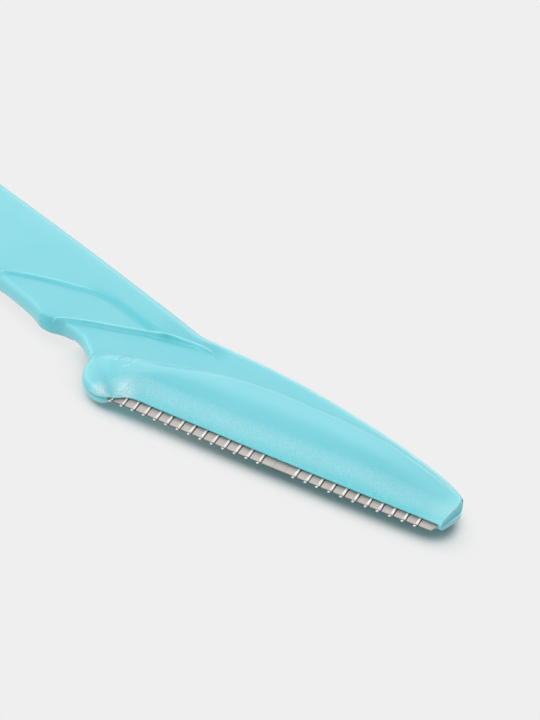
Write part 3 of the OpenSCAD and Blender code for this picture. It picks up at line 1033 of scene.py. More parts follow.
def fine_grain_group() -> bpy.types.NodeTree:
    """Builds the shared grain: a fine sparked texture that lightens, roughens and lifts a moulded face, whose light
    specks also paint highlights where the frost share is high.

    Returns:
        The group, with Scale, Amount and Frost in and Speckle and Height out.
    """
    wide_scale, wide_share, frost_lift = 3500.0, 0.15, 2.0
    speck_from, speck_to = 0.47, 0.68
    tree = bpy.data.node_groups.new("fine_grain", "ShaderNodeTree")
    for name, low, high, value in (("Scale", 1.0, 60000.0, 9000.0), ("Amount", 0.0, 1.0, 0.4),
                                   ("Frost", 0.0, 1.0, 0.0)):
        socket = tree.interface.new_socket(name, in_out="INPUT", socket_type="NodeSocketFloat")
        socket.min_value, socket.max_value, socket.default_value = low, high, value
    for name in ("Speckle", "Height"):
        tree.interface.new_socket(name, in_out="OUTPUT", socket_type="NodeSocketFloat")
    bench = NodeBench(tree)
    given = bench.add("NodeGroupInput").outputs
    spot = bench.spot()
    fine = bench.noise(spot, given["Scale"], Roughness=0.7)
    mixed = bench.math("MULTIPLY_ADD", bench.noise(spot, wide_scale, 1.0), wide_share, fine)
    strength = bench.math("MULTIPLY_ADD", given["Frost"], frost_lift, given["Amount"])
    speck = bench.math("MULTIPLY", bench.span(mixed, speck_from, speck_to), given["Frost"])
    bench.add("NodeGroupOutput", Speckle=speck, Height=bench.math("MULTIPLY", mixed, strength))
    return tree


@dataclass(frozen=True)
class TealPlastic:
    """Satin, slightly translucent teal moulding."""

    body: Tone = Tone(112, 203, 214)
    # Tone of the painted light on edges, rims, step lines, knob and highlights; also the pale end of the random
    # cloud.
    edge: Tone = Tone(176, 236, 242)
    # Tone of the painted shade in folds, seams, corners and under the lip.
    fold: Tone = Tone(66, 199, 210)
    # Tone of the frost specks, which also paint highlights on the jaws and knob.
    frost: Tone = Tone(232, 248, 249)
    cloud_scale: float = 160.0
    cloud_share: float = 0.06
    grain_scale: float = 11000.0
    grain: float = 0.12
    roughness: tuple[float, float] = (0.26, 0.42)
    lift: float = 0.00004
    depth: float = 0.0008
    depth_share: float = 0.25
    depth_radius: tuple[float, float, float] = (0.3, 1.0, 1.1)
    ior: float = 1.52
    shine: float = 0.6

    def make(self, name: str, grain: bpy.types.NodeTree) -> bpy.types.Material:
        """Builds the material.

        Args:
            name: the material's name.
            grain: the shared grain group.

        Returns:
            A node material that reads the mesh's values of painted light, painted shade, and frost with painted
            highlights.
        """
        bench, mat = NodeBench.on_material(name)
        grained = bench.add("ShaderNodeGroup", {"node_tree": grain}, Scale=self.grain_scale,
                            Amount=self.grain, Frost=bench.stored("frost")).outputs
        cloud = bench.noise(bench.spot(), self.cloud_scale)
        colour = bench.blend(bench.span(cloud, *NOISE_SPAN, 0.0, self.cloud_share), self.body, self.edge)
        # Painted shade: folds, seams, corners, risers and the lip darkened to a deeper tone.
        colour = bench.blend(bench.stored("fold_depth"), colour, self.fold)
        # Painted light: edges, rims, step lines, knob, tip and the mark's arcs lightened.
        colour = bench.blend(bench.stored("edge_glow"), colour, self.edge)
        # Frost specks, which also paint the highlights on the lip band, heel and knob.
        colour = bench.blend(grained["Speckle"], colour, self.frost)
        rough = bench.span(grained["Height"], 0.1, 0.9, *self.roughness)
        bump = bench.add("ShaderNodeBump", Height=grained["Height"], Strength=BUMP, Distance=self.lift)
        shader = bench.add("ShaderNodeBsdfPrincipled", Base_Color=colour, Roughness=rough,
                           Normal=bump.outputs["Normal"], Subsurface_Weight=self.depth_share,
                           Subsurface_Radius=self.depth_radius, Subsurface_Scale=self.depth,
                           IOR=self.ior, Specular_IOR_Level=self.shine)
        bench.finish(shader.outputs["BSDF"])
        return mat


@dataclass(frozen=True)
class GroundSteel:
    """Thin ground stainless strip, ground across its edge."""

    body: Tone = Tone(193, 187, 182)
    dark: Tone = Tone(183, 176, 171)
    # Tone of the painted shadow beside each wire pass.
    painted_wire_shadow_tone: Tone = Tone(84, 78, 74)
    # Tone of the painted dark reflection along the bevel at the cutting edge.
    bevel: Tone = Tone(78, 71, 66)
    turn: float = math.radians(17.0)
    line_scale: float = 9000.0
    line_stretch: float = 30.0
    cloud_scale: float = 300.0
    worn_span: tuple[float, float] = (0.1, 0.45)
    metallic: float = 0.5
    roughness: tuple[float, float] = (0.38, 0.52)
    lift: float = 0.00001

    def make(self, name: str) -> bpy.types.Material:
        """Builds the material, with grinding lines across the blade, a painted dark reflection along the bevel and
        a painted shadow beside each wire pass.

        Args:
            name: name of the material.

        Returns:
            The material.
        """
        bench, mat = NodeBench.on_material(name)
        spot = bench.spot()
        along = bench.add("ShaderNodeMapping", {"vector_type": "TEXTURE"}, Vector=spot,
                          Rotation=(0.0, 0.0, self.turn), Scale=(1.0, self.line_stretch, 1.0))
        lines = bench.noise(along.outputs["Vector"], self.line_scale)
        worn = bench.math("MULTIPLY", lines, bench.noise(spot, self.cloud_scale))
        colour = bench.blend(bench.span(worn, *self.worn_span), self.dark, self.body)
        # Painted dark reflection along the bevel.
        colour = bench.blend(bench.stored("bevel"), colour, self.bevel)
        # Painted shadow beside each wire pass.
        colour = bench.blend(bench.stored("wire_mark"), colour, self.painted_wire_shadow_tone)
        bump = bench.add("ShaderNodeBump", Height=lines, Strength=BUMP, Distance=self.lift)
        rough = bench.span(lines, *NOISE_SPAN, *self.roughness)
        shader = bench.add("ShaderNodeBsdfPrincipled", Base_Color=colour, Metallic=self.metallic,
                           Roughness=rough, Normal=bump.outputs["Normal"])
        bench.finish(shader.outputs["BSDF"])
        return mat


@dataclass(frozen=True)
class DrawnWire:
    """Bright drawn stainless wire."""

    body: Tone = Tone(228, 224, 220)
    dull: Tone = Tone(208, 204, 200)
    # Tone of the painted shade where the wire bends over the cutting edge.
    worn: Tone = Tone(92, 88, 84)
    mark_scale: float = 7000.0
    roughness: tuple[float, float] = (0.26, 0.4)

    def make(self, name: str) -> bpy.types.Material:
        """Builds the material, with faint drawing marks and painted shade at the bend over the edge.

        Args:
            name: name of the material.

        Returns:
            The material.
        """
        bench, mat = NodeBench.on_material(name)
        marks = bench.noise(bench.spot(), self.mark_scale)
        colour = bench.blend(marks, self.dull, self.body)
        # Painted shade at the bend over the edge.
        colour = bench.blend(bench.stored("bend_shade"), colour, self.worn)
        shader = bench.add("ShaderNodeBsdfPrincipled", Base_Color=colour, Metallic=1.0,
                           Roughness=bench.span(marks, 0.0, 1.0, *self.roughness))
        bench.finish(shader.outputs["BSDF"])
        return mat


@dataclass(frozen=True)
class RoundMark:
    """The shallow round mark near the knob."""

    at: tuple[float, float] = (-2.05, 3.76)
    radius: float = 0.78
    depth: float = 0.03
    light_way: tuple[float, float] = (0.44619, 1.28939)


@dataclass(frozen=True)
class Patch:
    """A soft round patch on the jaws, placed along and across the cutting edge."""

    u: float
    v: float
    reach: float
    strength: float
    stretch: float

    def at(self, u: np.ndarray, v: np.ndarray) -> np.ndarray:
        """Strength of the patch at each point."""
        return self.strength * bell(np.hypot((u - self.u) * self.stretch, v - self.v), self.reach)


@dataclass(frozen=True)
class ShadeLevels:
    """How strongly each painted light on an edge, each painted shade in a fold and each frosted patch with its
    painted highlight shows, 0 to 1.
    """

    # Painted light.
    lower_step: float = 0.8
    lower_foot: float = 0.35
    upper_step: float = 0.6
    back_rim: float = 0.6
    front_wall: float = 0.12
    tip: float = 0.35
    tip_seam: float = 0.15
    knob: float = 0.12
    knob_top: Patch = Patch(-0.95, 0.0, 0.6, 0.3, 0.8)
    heel: Patch = Patch(0.9, 1.3, 0.8, 0.35, 0.9)
    # Painted shade.
    riser: float = 0.5
    lower_foot_fold: float = 0.3
    upper_foot_fold: float = 0.25
    soft_fold: float = 0.5
    corner_fold: float = 0.4
    tip_seam_fold: float = 0.35
    lip_fold: float = 0.5
    # Frost, which also paints highlights.
    frost_and_highlight_band: float = 0.27
    frost_and_highlight_heel: Patch = Patch(0.9, 1.3, 0.9, 0.8, 0.9)
    frost_and_highlight_knob: Patch = Patch(-0.95, 0.0, 0.55, 1.0, 0.8)


@dataclass
class PlasticShading:
    """Painted light, painted shade and frost with painted highlights at the points of one plastic piece, which its
    material reads.
    """

    form: RazorForm
    mark: RoundMark
    points: tuple[np.ndarray, np.ndarray, np.ndarray]
    is_cover: bool
    level: ShadeLevels = field(default_factory=ShadeLevels)
    line_w: float = 0.05
    corner_x: float = -11.3
    jaw_low: float = 0.1
    seam_half: float = 0.02

    def __post_init__(self) -> None:
        """Works out what all the values share."""
        f = self.form
        x, y, z = self.points
        self.u, self.v = f.sizes.to_edge(x, y)
        self.line_a, self.line_b = f.lines(x)
        self.wide_a, self.wide_b = f.step_widths(x)
        self.in_cover = f.cover_line.at(x) - y
        self.to_front = f.front_distance(x, y)
        self.on_top = ease(z, 0.95, 1.1)
        self.on_b = (x > f.corner_x + 0.6) * ease(x, 2.8, 2.1)
        self.corner = bell(x - self.corner_x, 1.3) * bell(f.front(x) + 0.15 - y, 0.6)
        self.on_jaw = (self.in_cover > 0) & (z > self.jaw_low)
        self.on_seam = np.abs(z) < self.seam_half
        self.knob_seam = self.on_seam & (self.to_front < 0.3) & (x > f.knob_start) & (x < 0.4)

    def _ring(self) -> np.ndarray:
        """Painted highlight on the rim of the round mark, which fades on two sides.

        Returns:
            A share for each point.
        """
        f, mark = self.form, self.mark
        x, y, z = self.points
        u, v = f.sizes.to_edge(x - mark.at[0], y - mark.at[1])
        on_rim = (np.abs(np.hypot(u, v) - mark.radius) < 0.004) & (z > f.height(x, y, Face.UPPER) - mark.depth / 2)
        off = np.abs(mark.light_way[0] * u + mark.light_way[1] * v)
        return on_rim * ease(off, 0.95, 0.75)

    def glow(self) -> np.ndarray:
        """Painted light on edges, step lines, rims, walls, the knob, the tip, the cover's edge and the mark's rim.

        Returns:
            A share for each point.
        """
        f, k = self.form, self.level
        x, y, _ = self.points
        foot = self.line_b - self.wide_b - y
        lower = np.maximum(k.lower_step * bell(y - self.line_b - 0.02, self.line_w),
                           k.lower_foot * ease(x, -9.9, -9.3) * bell(foot - 0.01, self.line_w))
        upper = k.upper_step * ease(x, -10.0, -13.0) * bell(y - self.line_a - 0.02, self.line_w)
        wall = ease(self.to_front, 0.8, 0.05) * (1 - self.corner) * ease(x, f.knob_start + 3.0, f.knob_start)
        glow = np.maximum.reduce([
            self.on_top * np.maximum(self.on_b * lower, upper), k.back_rim * bell(f.back(x) - y, 0.7),
            k.front_wall * wall, k.tip * ease(x, f.tip_x - 3.0, f.tip_x - 0.5)])
        if self.is_cover:
            glow = np.where(self.on_seam & (x > f.tip_x - 2.0), k.tip_seam, glow)
        on_knob = ease(x, f.knob_start - 0.2, f.knob_start + 0.2) * ease(self.u + 0.8 * self.v, -0.4, -2.0)
        glow = np.maximum.reduce([glow, on_knob * (k.knob + k.knob_top.at(self.u, self.v)),
                                  self.on_jaw * k.heel.at(self.u, self.v)])
        cover_edge = 0.5 * np.interp(x, [-1.5, 1.0, 12.0, 16.0], [0.0, 0.5, 0.4, 0.1]) * self.on_top
        cover_edge = cover_edge * bell(self.in_cover - 0.03, 0.12)
        return np.maximum.reduce([np.where(self.knob_seam, 0.0, glow), cover_edge, self._ring()])

    def fold(self) -> np.ndarray:
        """Painted shade where the plastic lies in a fold, a seam, a corner, on or under a step, or under the lip.

        Returns:
            A share for each point.
        """
        f, k = self.form, self.level
        x, y, _ = self.points
        foot_b, foot_a = self.line_b - self.wide_b - y, self.line_a - self.wide_a - y
        lower = np.where(foot_b > 0, k.lower_foot_fold * np.exp(-np.maximum(foot_b, 0.0) / 0.5),
                         np.where((foot_b < 0) & (y < self.line_b), k.riser, 0.0))
        upper = np.where(foot_a < 0, k.riser, k.upper_foot_fold * np.exp(-np.maximum(foot_a, 0.0) / 0.25))
        upper = np.where(y < self.line_a, upper, 0.0) * ease(x, -10.2, -12.4)
        fold = np.maximum.reduce([np.where(self.in_cover < -0.3, self.on_b * lower, 0.0), upper,
                                  k.soft_fold * f.fold(x, y)])
        start = bell(x - self.corner_x, 1.1) * ease(y - f.front(x), 1.5, 0.7)
        fold = np.maximum(fold * (1 - start), k.corner_fold * self.corner)
        if self.is_cover:
            fold = np.maximum(fold, k.tip_seam_fold * self.on_seam * ease(x, f.tip_x - 2.0, f.tip_x - 1.5))
        lip = ease(self.v - f.sizes.reach, 1.0, 0.0) * (self.in_cover > 0) * (self.u > 1.0)
        return np.maximum(np.where(self.knob_seam, 1.0, fold), k.lip_fold * lip)

    def frost(self) -> np.ndarray:
        """Where the jaws are frosted: a band along the lip, the heel and the top of the knob, where the frost also
        paints the highlights.

        Returns:
            A share for each point.
        """
        f, k = self.form, self.level
        band = bell(self.v - 2.05, 1.0) * ease(self.u, -0.3, 0.9)
        band = k.frost_and_highlight_band * band * ease(self.points[0], f.tip_x + 0.4, f.tip_x - 2.1)
        return self.on_jaw * np.maximum.reduce([band, k.frost_and_highlight_heel.at(self.u, self.v),
                                                k.frost_and_highlight_knob.at(self.u, self.v)])


@dataclass
class Moulding:
    """The two plastic pieces, cut from one skin: the handle and the blade cover."""

    form: RazorForm
    kit: Kit
    pocket: Pocket
    gap: float = 0.008
    mark: RoundMark = field(default_factory=RoundMark)
    over_all: float = 4.0
    tip_rows: tuple[tuple[float, float, float, float], ...] = (
        (6.5, 32.3, 32.3, 32.3), (5.4, 33.08, 33.05, 33.0), (4.9, 33.34, 33.3, 33.2),
        (4.6, 33.5, 33.47, 33.3), (4.3, 33.66, 33.62, 33.28), (3.7, 33.92, 33.87, 33.2),
        (3.05, 34.1, 33.93, 33.1), (2.53, 33.97, 33.78, 33.06), (1.94, 33.79, 33.64, 33.06),
        (1.41, 33.62, 33.53, 33.08), (0.9, 33.42, 33.42, 33.1), (0.45, 33.2, 33.2, 33.05),
        (-1.5, 33.1, 33.1, 33.05))

    def _cover_outline(self, shift: float) -> np.ndarray:
        """Plan of the cover's side of its back edge, moved by a gap.

        Args:
            shift: the gap, less towards the knob.

        Returns:
            The outline in the handle's frame.
        """
        f = self.form
        start, end = f.cover_line.points[0][0], f.tip_x + 1.0
        xs = np.concatenate([np.arange(start, end, 0.2), [end]])
        shift = shift * (0.1 + 0.9 * ease(xs, 8.0, 14.0))
        line = np.stack([xs, f.cover_line.at(xs) + shift], 1)[::-1]
        return np.concatenate([[(start, -self.over_all), (end, -self.over_all)], line])

    def _tip_plan(self, line: int, shift: float = 0.0) -> np.ndarray:
        """Plan of what is cut off past the tip.

        Args:
            line: 1 for the lower half at the seam, 2 for the cover at the seam, 3 for it far above.
            shift: how far the line is moved along the edge.

        Returns:
            The plan's corners in the handle's frame.
        """
        past = 40.0
        rows = self.tip_rows
        points = [(past, rows[-1][0]), (past, rows[0][0])] + [(row[line] + shift, row[0]) for row in rows]
        return np.array([self.form.sizes.to_handle(u, v) for u, v in points])

    def _mark_cutter(self) -> bpy.types.Object:
        """A disc whose floor follows the cover's face at an even depth, for the round mark.

        Returns:
            The cutter.
        """
        turn = np.radians(np.arange(0, 360, 6))
        spokes = np.stack([np.cos(turn), np.sin(turn)], 1)
        n, mark = len(turn), self.mark
        rings = [np.array(mark.at) + r * spokes for r in (mark.radius / 2, mark.radius, mark.radius)]
        plan = np.concatenate([[mark.at], *rings])
        low = self.form.height(plan[:, 0], plan[:, 1], Face.UPPER) - mark.depth
        low[1 + 2 * n:] = self.over_all
        faces: list[tuple[int, ...]] = [tuple(range(1 + 2 * n, 1 + 3 * n))]
        for k in range(n):
            a, b = 1 + k, 1 + (k + 1) % n
            faces += [(0, b, a), (a, b, b + n, a + n), (a + n, b + n, b + 2 * n, a + 2 * n)]
        return self.kit.mesh_object("mark", np.column_stack([plan, low]), faces)

    def build(self) -> tuple[bpy.types.Object, bpy.types.Object]:
        """Builds the handle and the cover.

        Returns:
            The handle, then the cover.
        """
        f, s, kit = self.form, self.form.sizes, self.kit
        skin = Skin(f, kit).build("razor_handle")
        cover = new_object("razor_cover", skin.data.copy())

        def cut(piece: bpy.types.Object, plan: np.ndarray, low: float, high: float,
                top: np.ndarray | None = None, how: Cut = Cut.TAKE_AWAY) -> None:
            """Cuts a piece with a prism over a plan."""
            kit.cut(piece, kit.prism("cutter", plan, low, high, top), how)

        cut(skin, self._cover_outline(self.gap / 2), 0.0, self.over_all)
        cut(cover, self._cover_outline(-self.gap / 2), 0.0, self.over_all, how=Cut.KEEP_INSIDE)
        for piece in (skin, cover):
            kit.cut(piece, self.pocket.slot("cutter"), Cut.TAKE_AWAY)
        cut(cover, self._tip_plan(2), 0.0, 2.0, self._tip_plan(3))
        cut(skin, self._tip_plan(1, -0.3), -2.0, 0.0, self._tip_plan(1))
        cut(skin, self._tip_plan(1), 0.0, 2.0)
        for plan in self.pocket.notches():
            cut(cover, plan, s.pocket_h - 0.05, s.pocket_h + 0.06)
        kit.cut(cover, self._mark_cutter(), Cut.TAKE_AWAY)
        for at in self.pocket.pegs():
            kit.cut(cover, self.pocket.hole("hole", at, -1.0, 0.76), Cut.TAKE_AWAY)
            kit.cut(skin, self.pocket.peg("peg", at, s.peg_r, -0.7, 0.72), Cut.JOIN)
        for piece in (skin, cover):
            kit.finish_mesh(piece)
            shade = PlasticShading(f, self.mark, kit.points_of(piece), piece is cover)
            # Painted light, painted shade, and frost with painted highlights, for the material to read.
            kit.store(piece.data, edge_glow=shade.glow(), fold_depth=shade.fold(), frost=shade.frost())
        return skin, cover


@dataclass
class Blade:
    """The thin ground blade."""

    kit: Kit
    pocket: Pocket
    edge_half: float = 0.008
    heel_cut: float = 0.35
    inner_v: float = 1.6
    # Strength of the painted shadow at the passes where the wire is missing.
    bare_pass_shadow: float = 0.25
    crease: float = 2.0

    def _stations(self) -> tuple[np.ndarray, np.ndarray]:
        """Places along the edge at which the strip is divided.

        Returns:
            The places, and how dark the painted shadow beside the wire is at each.
        """
        s = self.kit.sizes
        places, marks = [], []
        for at, bare in Winding(s).passes():
            side = at + s.wire_w / 2 - 0.02
            dark = self.bare_pass_shadow if bare else 1.0
            places += [at - 0.3, side, side + 0.02, side + 0.09, side + 0.11]
            marks += [0.0, 0.0, dark, dark, 0.0]
        return np.array(places), np.array(marks)

    def _plan(self, stations: np.ndarray, lean: float) -> np.ndarray:
        """Plan of the strip, along and across the cutting edge.

        Args:
            stations: places along the edge at which it is divided.
            lean: slant of the dividing lines.

        Returns:
            Three rows of points, at the edge, the bevel and further in, then the four back corners.
        """
        s, deep = self.kit.sizes, self.inner_v
        bevel_u = s.edge_l + s.slant * s.bevel_w / s.facet
        heel_lean = (s.heel_l - self.heel_cut) / (s.heel_front - s.bevel_w)
        end_lean = (s.slant + s.cut_back) / (s.blade_w - s.facet)
        ends = ((0.0, s.edge_l), (-self.heel_cut, bevel_u),
                (-self.heel_cut - heel_lean * (deep - s.bevel_w), s.edge_l + s.slant - end_lean * (deep - s.facet)))
        rows = []
        for (first, last), v in zip(ends, (0.0, s.bevel_w, deep)):
            row_u = np.concatenate([[first], stations + lean * v, [last]])
            rows.append(np.stack([row_u, v - s.bow(row_u) * (v < 1.0)], 1))
        corners = np.array([(s.edge_l + s.slant, s.facet), (s.edge_l - s.cut_back, s.blade_w),
                            (-s.heel_l, s.blade_w), (-s.heel_l, s.heel_front)])
        return np.concatenate([*rows, corners])

    @staticmethod
    def _faces(n: int, total: int) -> list[tuple[int, ...]]:
        """Faces of the strip.

        Args:
            n: number of points in a row of the plan.
            total: number of points in the plan.

        Returns:
            Both flat sides and the edge all round.
        """
        front, end, back, heel = range(3 * n, 3 * n + 4)
        faces: list[tuple[int, ...]] = []
        for k in range(n - 1):
            faces.append((k, k + 1, n + k + 1, n + k))
            strip = (n + k, n + k + 1, 2 * n + k + 1, 2 * n + k)
            faces.append(strip if k < n - 2 else (*strip[:2], front, *strip[2:]))
        faces.append((*range(2 * n, 3 * n), end, back, heel))
        faces += [tuple(total + a for a in face[::-1]) for face in faces]
        loop = [*range(n), 2 * n - 1, front, end, back, heel, 2 * n, n]
        return faces + [(a, total + a, total + b, b) for a, b in zip(loop, loop[1:] + loop[:1])]

    def build(self) -> bpy.types.Object:
        """Builds the strip with its slanted corners, its bevels and the hole for the peg.

        Returns:
            The blade.
        """
        s, kit = self.kit.sizes, self.kit
        stations, marks = self._stations()
        lean = Winding(s).lean
        plan = self._plan(stations, lean)
        n = len(stations) + 2
        points = [(*s.to_handle(u, v), side * (self.edge_half if k < n else s.blade_t / 2))
                  for side in (1, -1) for k, (u, v) in enumerate(plan)]
        piece = kit.mesh_object("razor_blade", np.array(points), self._faces(n, len(plan)))
        kit.finish_mesh(piece, self.crease)
        kit.cut(piece, self.pocket.hole("hole", self.pocket.pegs()[-1], -1.0, 1.0), Cut.TAKE_AWAY)
        kit.finish_mesh(piece, self.crease)
        x, y, z = kit.points_of(piece)
        u, v = s.to_edge(x, y)
        straight_u = u - lean * (v + s.bow(u) * (v < 1.0))
        # Painted shadow beside each wire pass, on the upper side.
        mark = np.where((v < 2.0) & (z > 0), np.interp(straight_u, stations, marks), 0.0)
        # Marks the bevel for its painted dark reflection.
        kit.store(piece.data, bevel=v < s.bevel_w / 2 - s.bow(u), wire_mark=mark)
        return piece


@dataclass
class GuardWire:
    """The wire wound round the blade, made by a Geometry Nodes tree."""

    kit: Kit
    steps: int = 88
    sides: int = 12
    jitter: float = 0.018
    crease: float = 60.0

    @property
    def squeeze(self) -> float:
        """Share by which the winding is laid closer, so that drawing it out again flattens the wire."""
        return self.kit.sizes.wire_d / self.kit.sizes.wire_w

    def _inputs(self) -> dict[str, float]:
        """Sizes of the winding, by the names of the tree's inputs.

        Returns:
            A number for each input.
        """
        s, k = self.kit.sizes, self.squeeze
        w = Winding(s)
        last = w.first + (w.before_bare + w.missing + w.after_bare - 1 + w.over_share) * w.pitch
        return {"Turns": float(w.after_bare + w.before_bare + 1), "Steps": float(self.steps),
                "Pitch": -w.pitch * k, "First": last * k, "Gain": w.over_share,
                "Bare After": float(w.after_bare), "Bare Pitches": w.missing + 1.0,
                "Straight": w.straight, "Bend": w.bend, "Back": w.back_bend, "Wire": s.wire_d,
                "Jitter": self.jitter * k, "Side": w.bend_share}

    @staticmethod
    def _path(bench: NodeBench, given: bpy.types.bpy_prop_collection) -> bpy.types.NodeSocket:
        """Adds the formula of the winding: a straight pass, a bend, the pass back and the bend back.

        Args:
            bench: where the nodes are added.
            given: the tree's inputs.

        Returns:
            The place of each point of the wire.
        """
        do = bench.math
        progress = do("DIVIDE", bench.add("GeometryNodeInputIndex").outputs[0], given["Steps"])
        turn, run = do("FLOOR", progress), do("MULTIPLY", do("FRACT", progress), 4.0)

        def stretch(start: float, length: object) -> bpy.types.NodeSocket:
            """How far the run has gone into one quarter of the loop: a straight pass or a bend."""
            return do("MULTIPLY", do("MINIMUM", do("MAXIMUM", do("SUBTRACT", run, start), 0.0), 1.0), length)

        upper, bend_a = stretch(0.0, given["Straight"]), stretch(1.0, math.pi)
        lower, bend_b = stretch(2.0, given["Straight"]), stretch(3.0, math.pi)
        y = do("SUBTRACT", given["Back"], upper)
        y = do("SUBTRACT", y, do("MULTIPLY", given["Bend"], do("SINE", bend_a)))
        y = do("ADD", y, lower)
        y = do("ADD", y, do("MULTIPLY", given["Bend"], do("SINE", bend_b)))
        z = do("ADD", do("COSINE", bend_a), do("SUBTRACT", 1.0, do("COSINE", bend_b)))
        z = do("MULTIPLY", z, given["Bend"])
        extra = do("SUBTRACT", given["Bare Pitches"], 1.0)
        past = do("GREATER_THAN", do("ADD", turn, 0.5), given["Bare After"])
        last = do("COMPARE", do("ADD", turn, 1.0), given["Bare After"], 0.1)
        start = do("ADD", turn, do("MULTIPLY", past, extra))
        rest = do("SUBTRACT", do("SUBTRACT", 1.0, given["Gain"]), given["Side"])
        rest = do("ADD", rest, do("MULTIPLY", last, extra))
        ahead = do("MULTIPLY", given["Gain"], do("DIVIDE", upper, given["Straight"]))
        ahead = do("ADD", ahead, do("MULTIPLY", given["Side"], do("DIVIDE", bend_a, math.pi)))
        ahead = do("ADD", ahead, do("MULTIPLY", rest, do("DIVIDE", lower, given["Straight"])))
        x = do("MULTIPLY", do("ADD", start, ahead), given["Pitch"])
        jitter = bench.add("FunctionNodeRandomValue", {"data_type": "FLOAT"}, i2=-1.0, i3=1.0, ID=turn, Seed=7)
        swing = do("SINE", do("MULTIPLY", do("DIVIDE", do("ADD", upper, lower), given["Straight"]), math.pi / 2))
        x = do("ADD", do("ADD", x, given["First"]),
               do("MULTIPLY", do("MULTIPLY", swing, given["Jitter"]), jitter.outputs[1]))
        return bench.add("ShaderNodeCombineXYZ", X=x, Y=y, Z=z).outputs["Vector"]

    def _tree(self) -> bpy.types.NodeTree:
        """Builds the winding: a line of points laid round the blade by formula, then a tube along it.

        Returns:
            The tree, with its sizes as named inputs.
        """
        tree = bpy.data.node_groups.new("guard_winding", "GeometryNodeTree")
        face = tree.interface
        for name, value in self._inputs().items():
            face.new_socket(name, in_out="INPUT", socket_type="NodeSocketFloat").default_value = value
        face.new_socket("Finish", in_out="INPUT", socket_type="NodeSocketMaterial")
        face.new_socket("Geometry", in_out="OUTPUT", socket_type="NodeSocketGeometry")
        bench = NodeBench(tree)
        given = bench.add("NodeGroupInput").outputs
        line = bench.add("GeometryNodeMeshLine", Count=bench.math("MULTIPLY", given["Turns"], given["Steps"]))
        laid = bench.add("GeometryNodeSetPosition", Geometry=line.outputs["Mesh"],
                         Position=self._path(bench, given))
        path = bench.add("GeometryNodeMeshToCurve", Mesh=laid.outputs["Geometry"])
        ring = bench.add("GeometryNodeCurvePrimitiveCircle", {"mode": "RADIUS"}, Resolution=self.sides,
                         Radius=bench.math("DIVIDE", given["Wire"], 2.0))
        tube = bench.add("GeometryNodeCurveToMesh", Curve=path.outputs["Curve"],
                         Profile_Curve=ring.outputs["Curve"], Fill_Caps=True)
        real = bench.add("GeometryNodeRealizeInstances", Geometry=tube.outputs["Mesh"])
        dressed = bench.add("GeometryNodeSetMaterial", Geometry=real.outputs["Geometry"],
                            Material=given["Finish"])
        bench.add("NodeGroupOutput", Geometry=dressed.outputs["Geometry"])
        return tree

    def _bend_shade(self, co: np.ndarray) -> np.ndarray:
        """How much painted shade the wire takes where it bends over the cutting edge.

        Args:
            co: points of the wire, in the frame of the cutting edge.

        Returns:
            A share for each point.
        """
        edge, facing, spread = 0.02, 60.0, 15.0
        turned = np.degrees(np.arctan2(co[:, 2], edge - co[:, 1]))
        return np.where(co[:, 1] < edge, bell(turned - facing, spread), 0.0)

    def build(self, finish: bpy.types.Material) -> bpy.types.Object:
        """Winds the wire and turns the result into a plain mesh.

        Args:
            finish: the wire's material.

        Returns:
            The wire, in the part's frame.
        """
        s = self.kit.sizes
        tree = self._tree()
        seed = new_object("winding_seed", bpy.data.meshes.new("winding_seed"))
        mod = seed.modifiers.new("winding", "NODES")
        mod.node_group = tree
        for item in tree.interface.items_tree:
            if item.name == "Finish":
                mod[item.identifier] = finish
        made = bpy.data.meshes.new_from_object(seed.evaluated_get(bpy.context.evaluated_depsgraph_get()))
        made.name = "razor_wire"
        bpy.data.objects.remove(seed)
        co = np.zeros(len(made.vertices) * 3)
        made.vertices.foreach_get("co", co)
        co = co.reshape(-1, 3)
        co[:, 0] /= self.squeeze
        self.kit.store(made, bend_shade=self._bend_shade(co))
        x, y = s.to_handle(co[:, 0], co[:, 1] - s.bow(co[:, 0]) * (1 - co[:, 1] / s.pocket_w))
        made.vertices.foreach_set("co", s.place(np.stack([x, y, co[:, 2]], 1)).ravel())
        made.update()
        piece = new_object("razor_wire", made)
        self.kit.finish_mesh(piece, self.crease)
        return piece


def direction(azimuth: float, elevation: float) -> Vector:
    """Unit vector towards an azimuth round from +X and a height over the floor, in degrees."""
    a, e = math.radians(azimuth), math.radians(elevation)
    return Vector((math.cos(a) * math.cos(e), math.sin(a) * math.cos(e), math.sin(e)))


@dataclass(frozen=True)
class Lamp:
    """A soft, distant lamp: its direction and angular size in degrees, and its power."""

    name: str
    azimuth: float
    elevation: float
    spread: float
    strength: float
    mirrored: bool = False

    def hang(self) -> None:
        """Adds the lamp to the scene."""
        data = bpy.data.lights.new(self.name, "SUN")
        data.energy, data.angle = self.strength, math.radians(self.spread)
        lamp = new_object(self.name, data)
        lamp.visible_glossy = self.mirrored
        lamp.rotation_mode = "QUATERNION"
        lamp.rotation_quaternion = direction(self.azimuth, self.elevation).to_track_quat("Z", "Y")


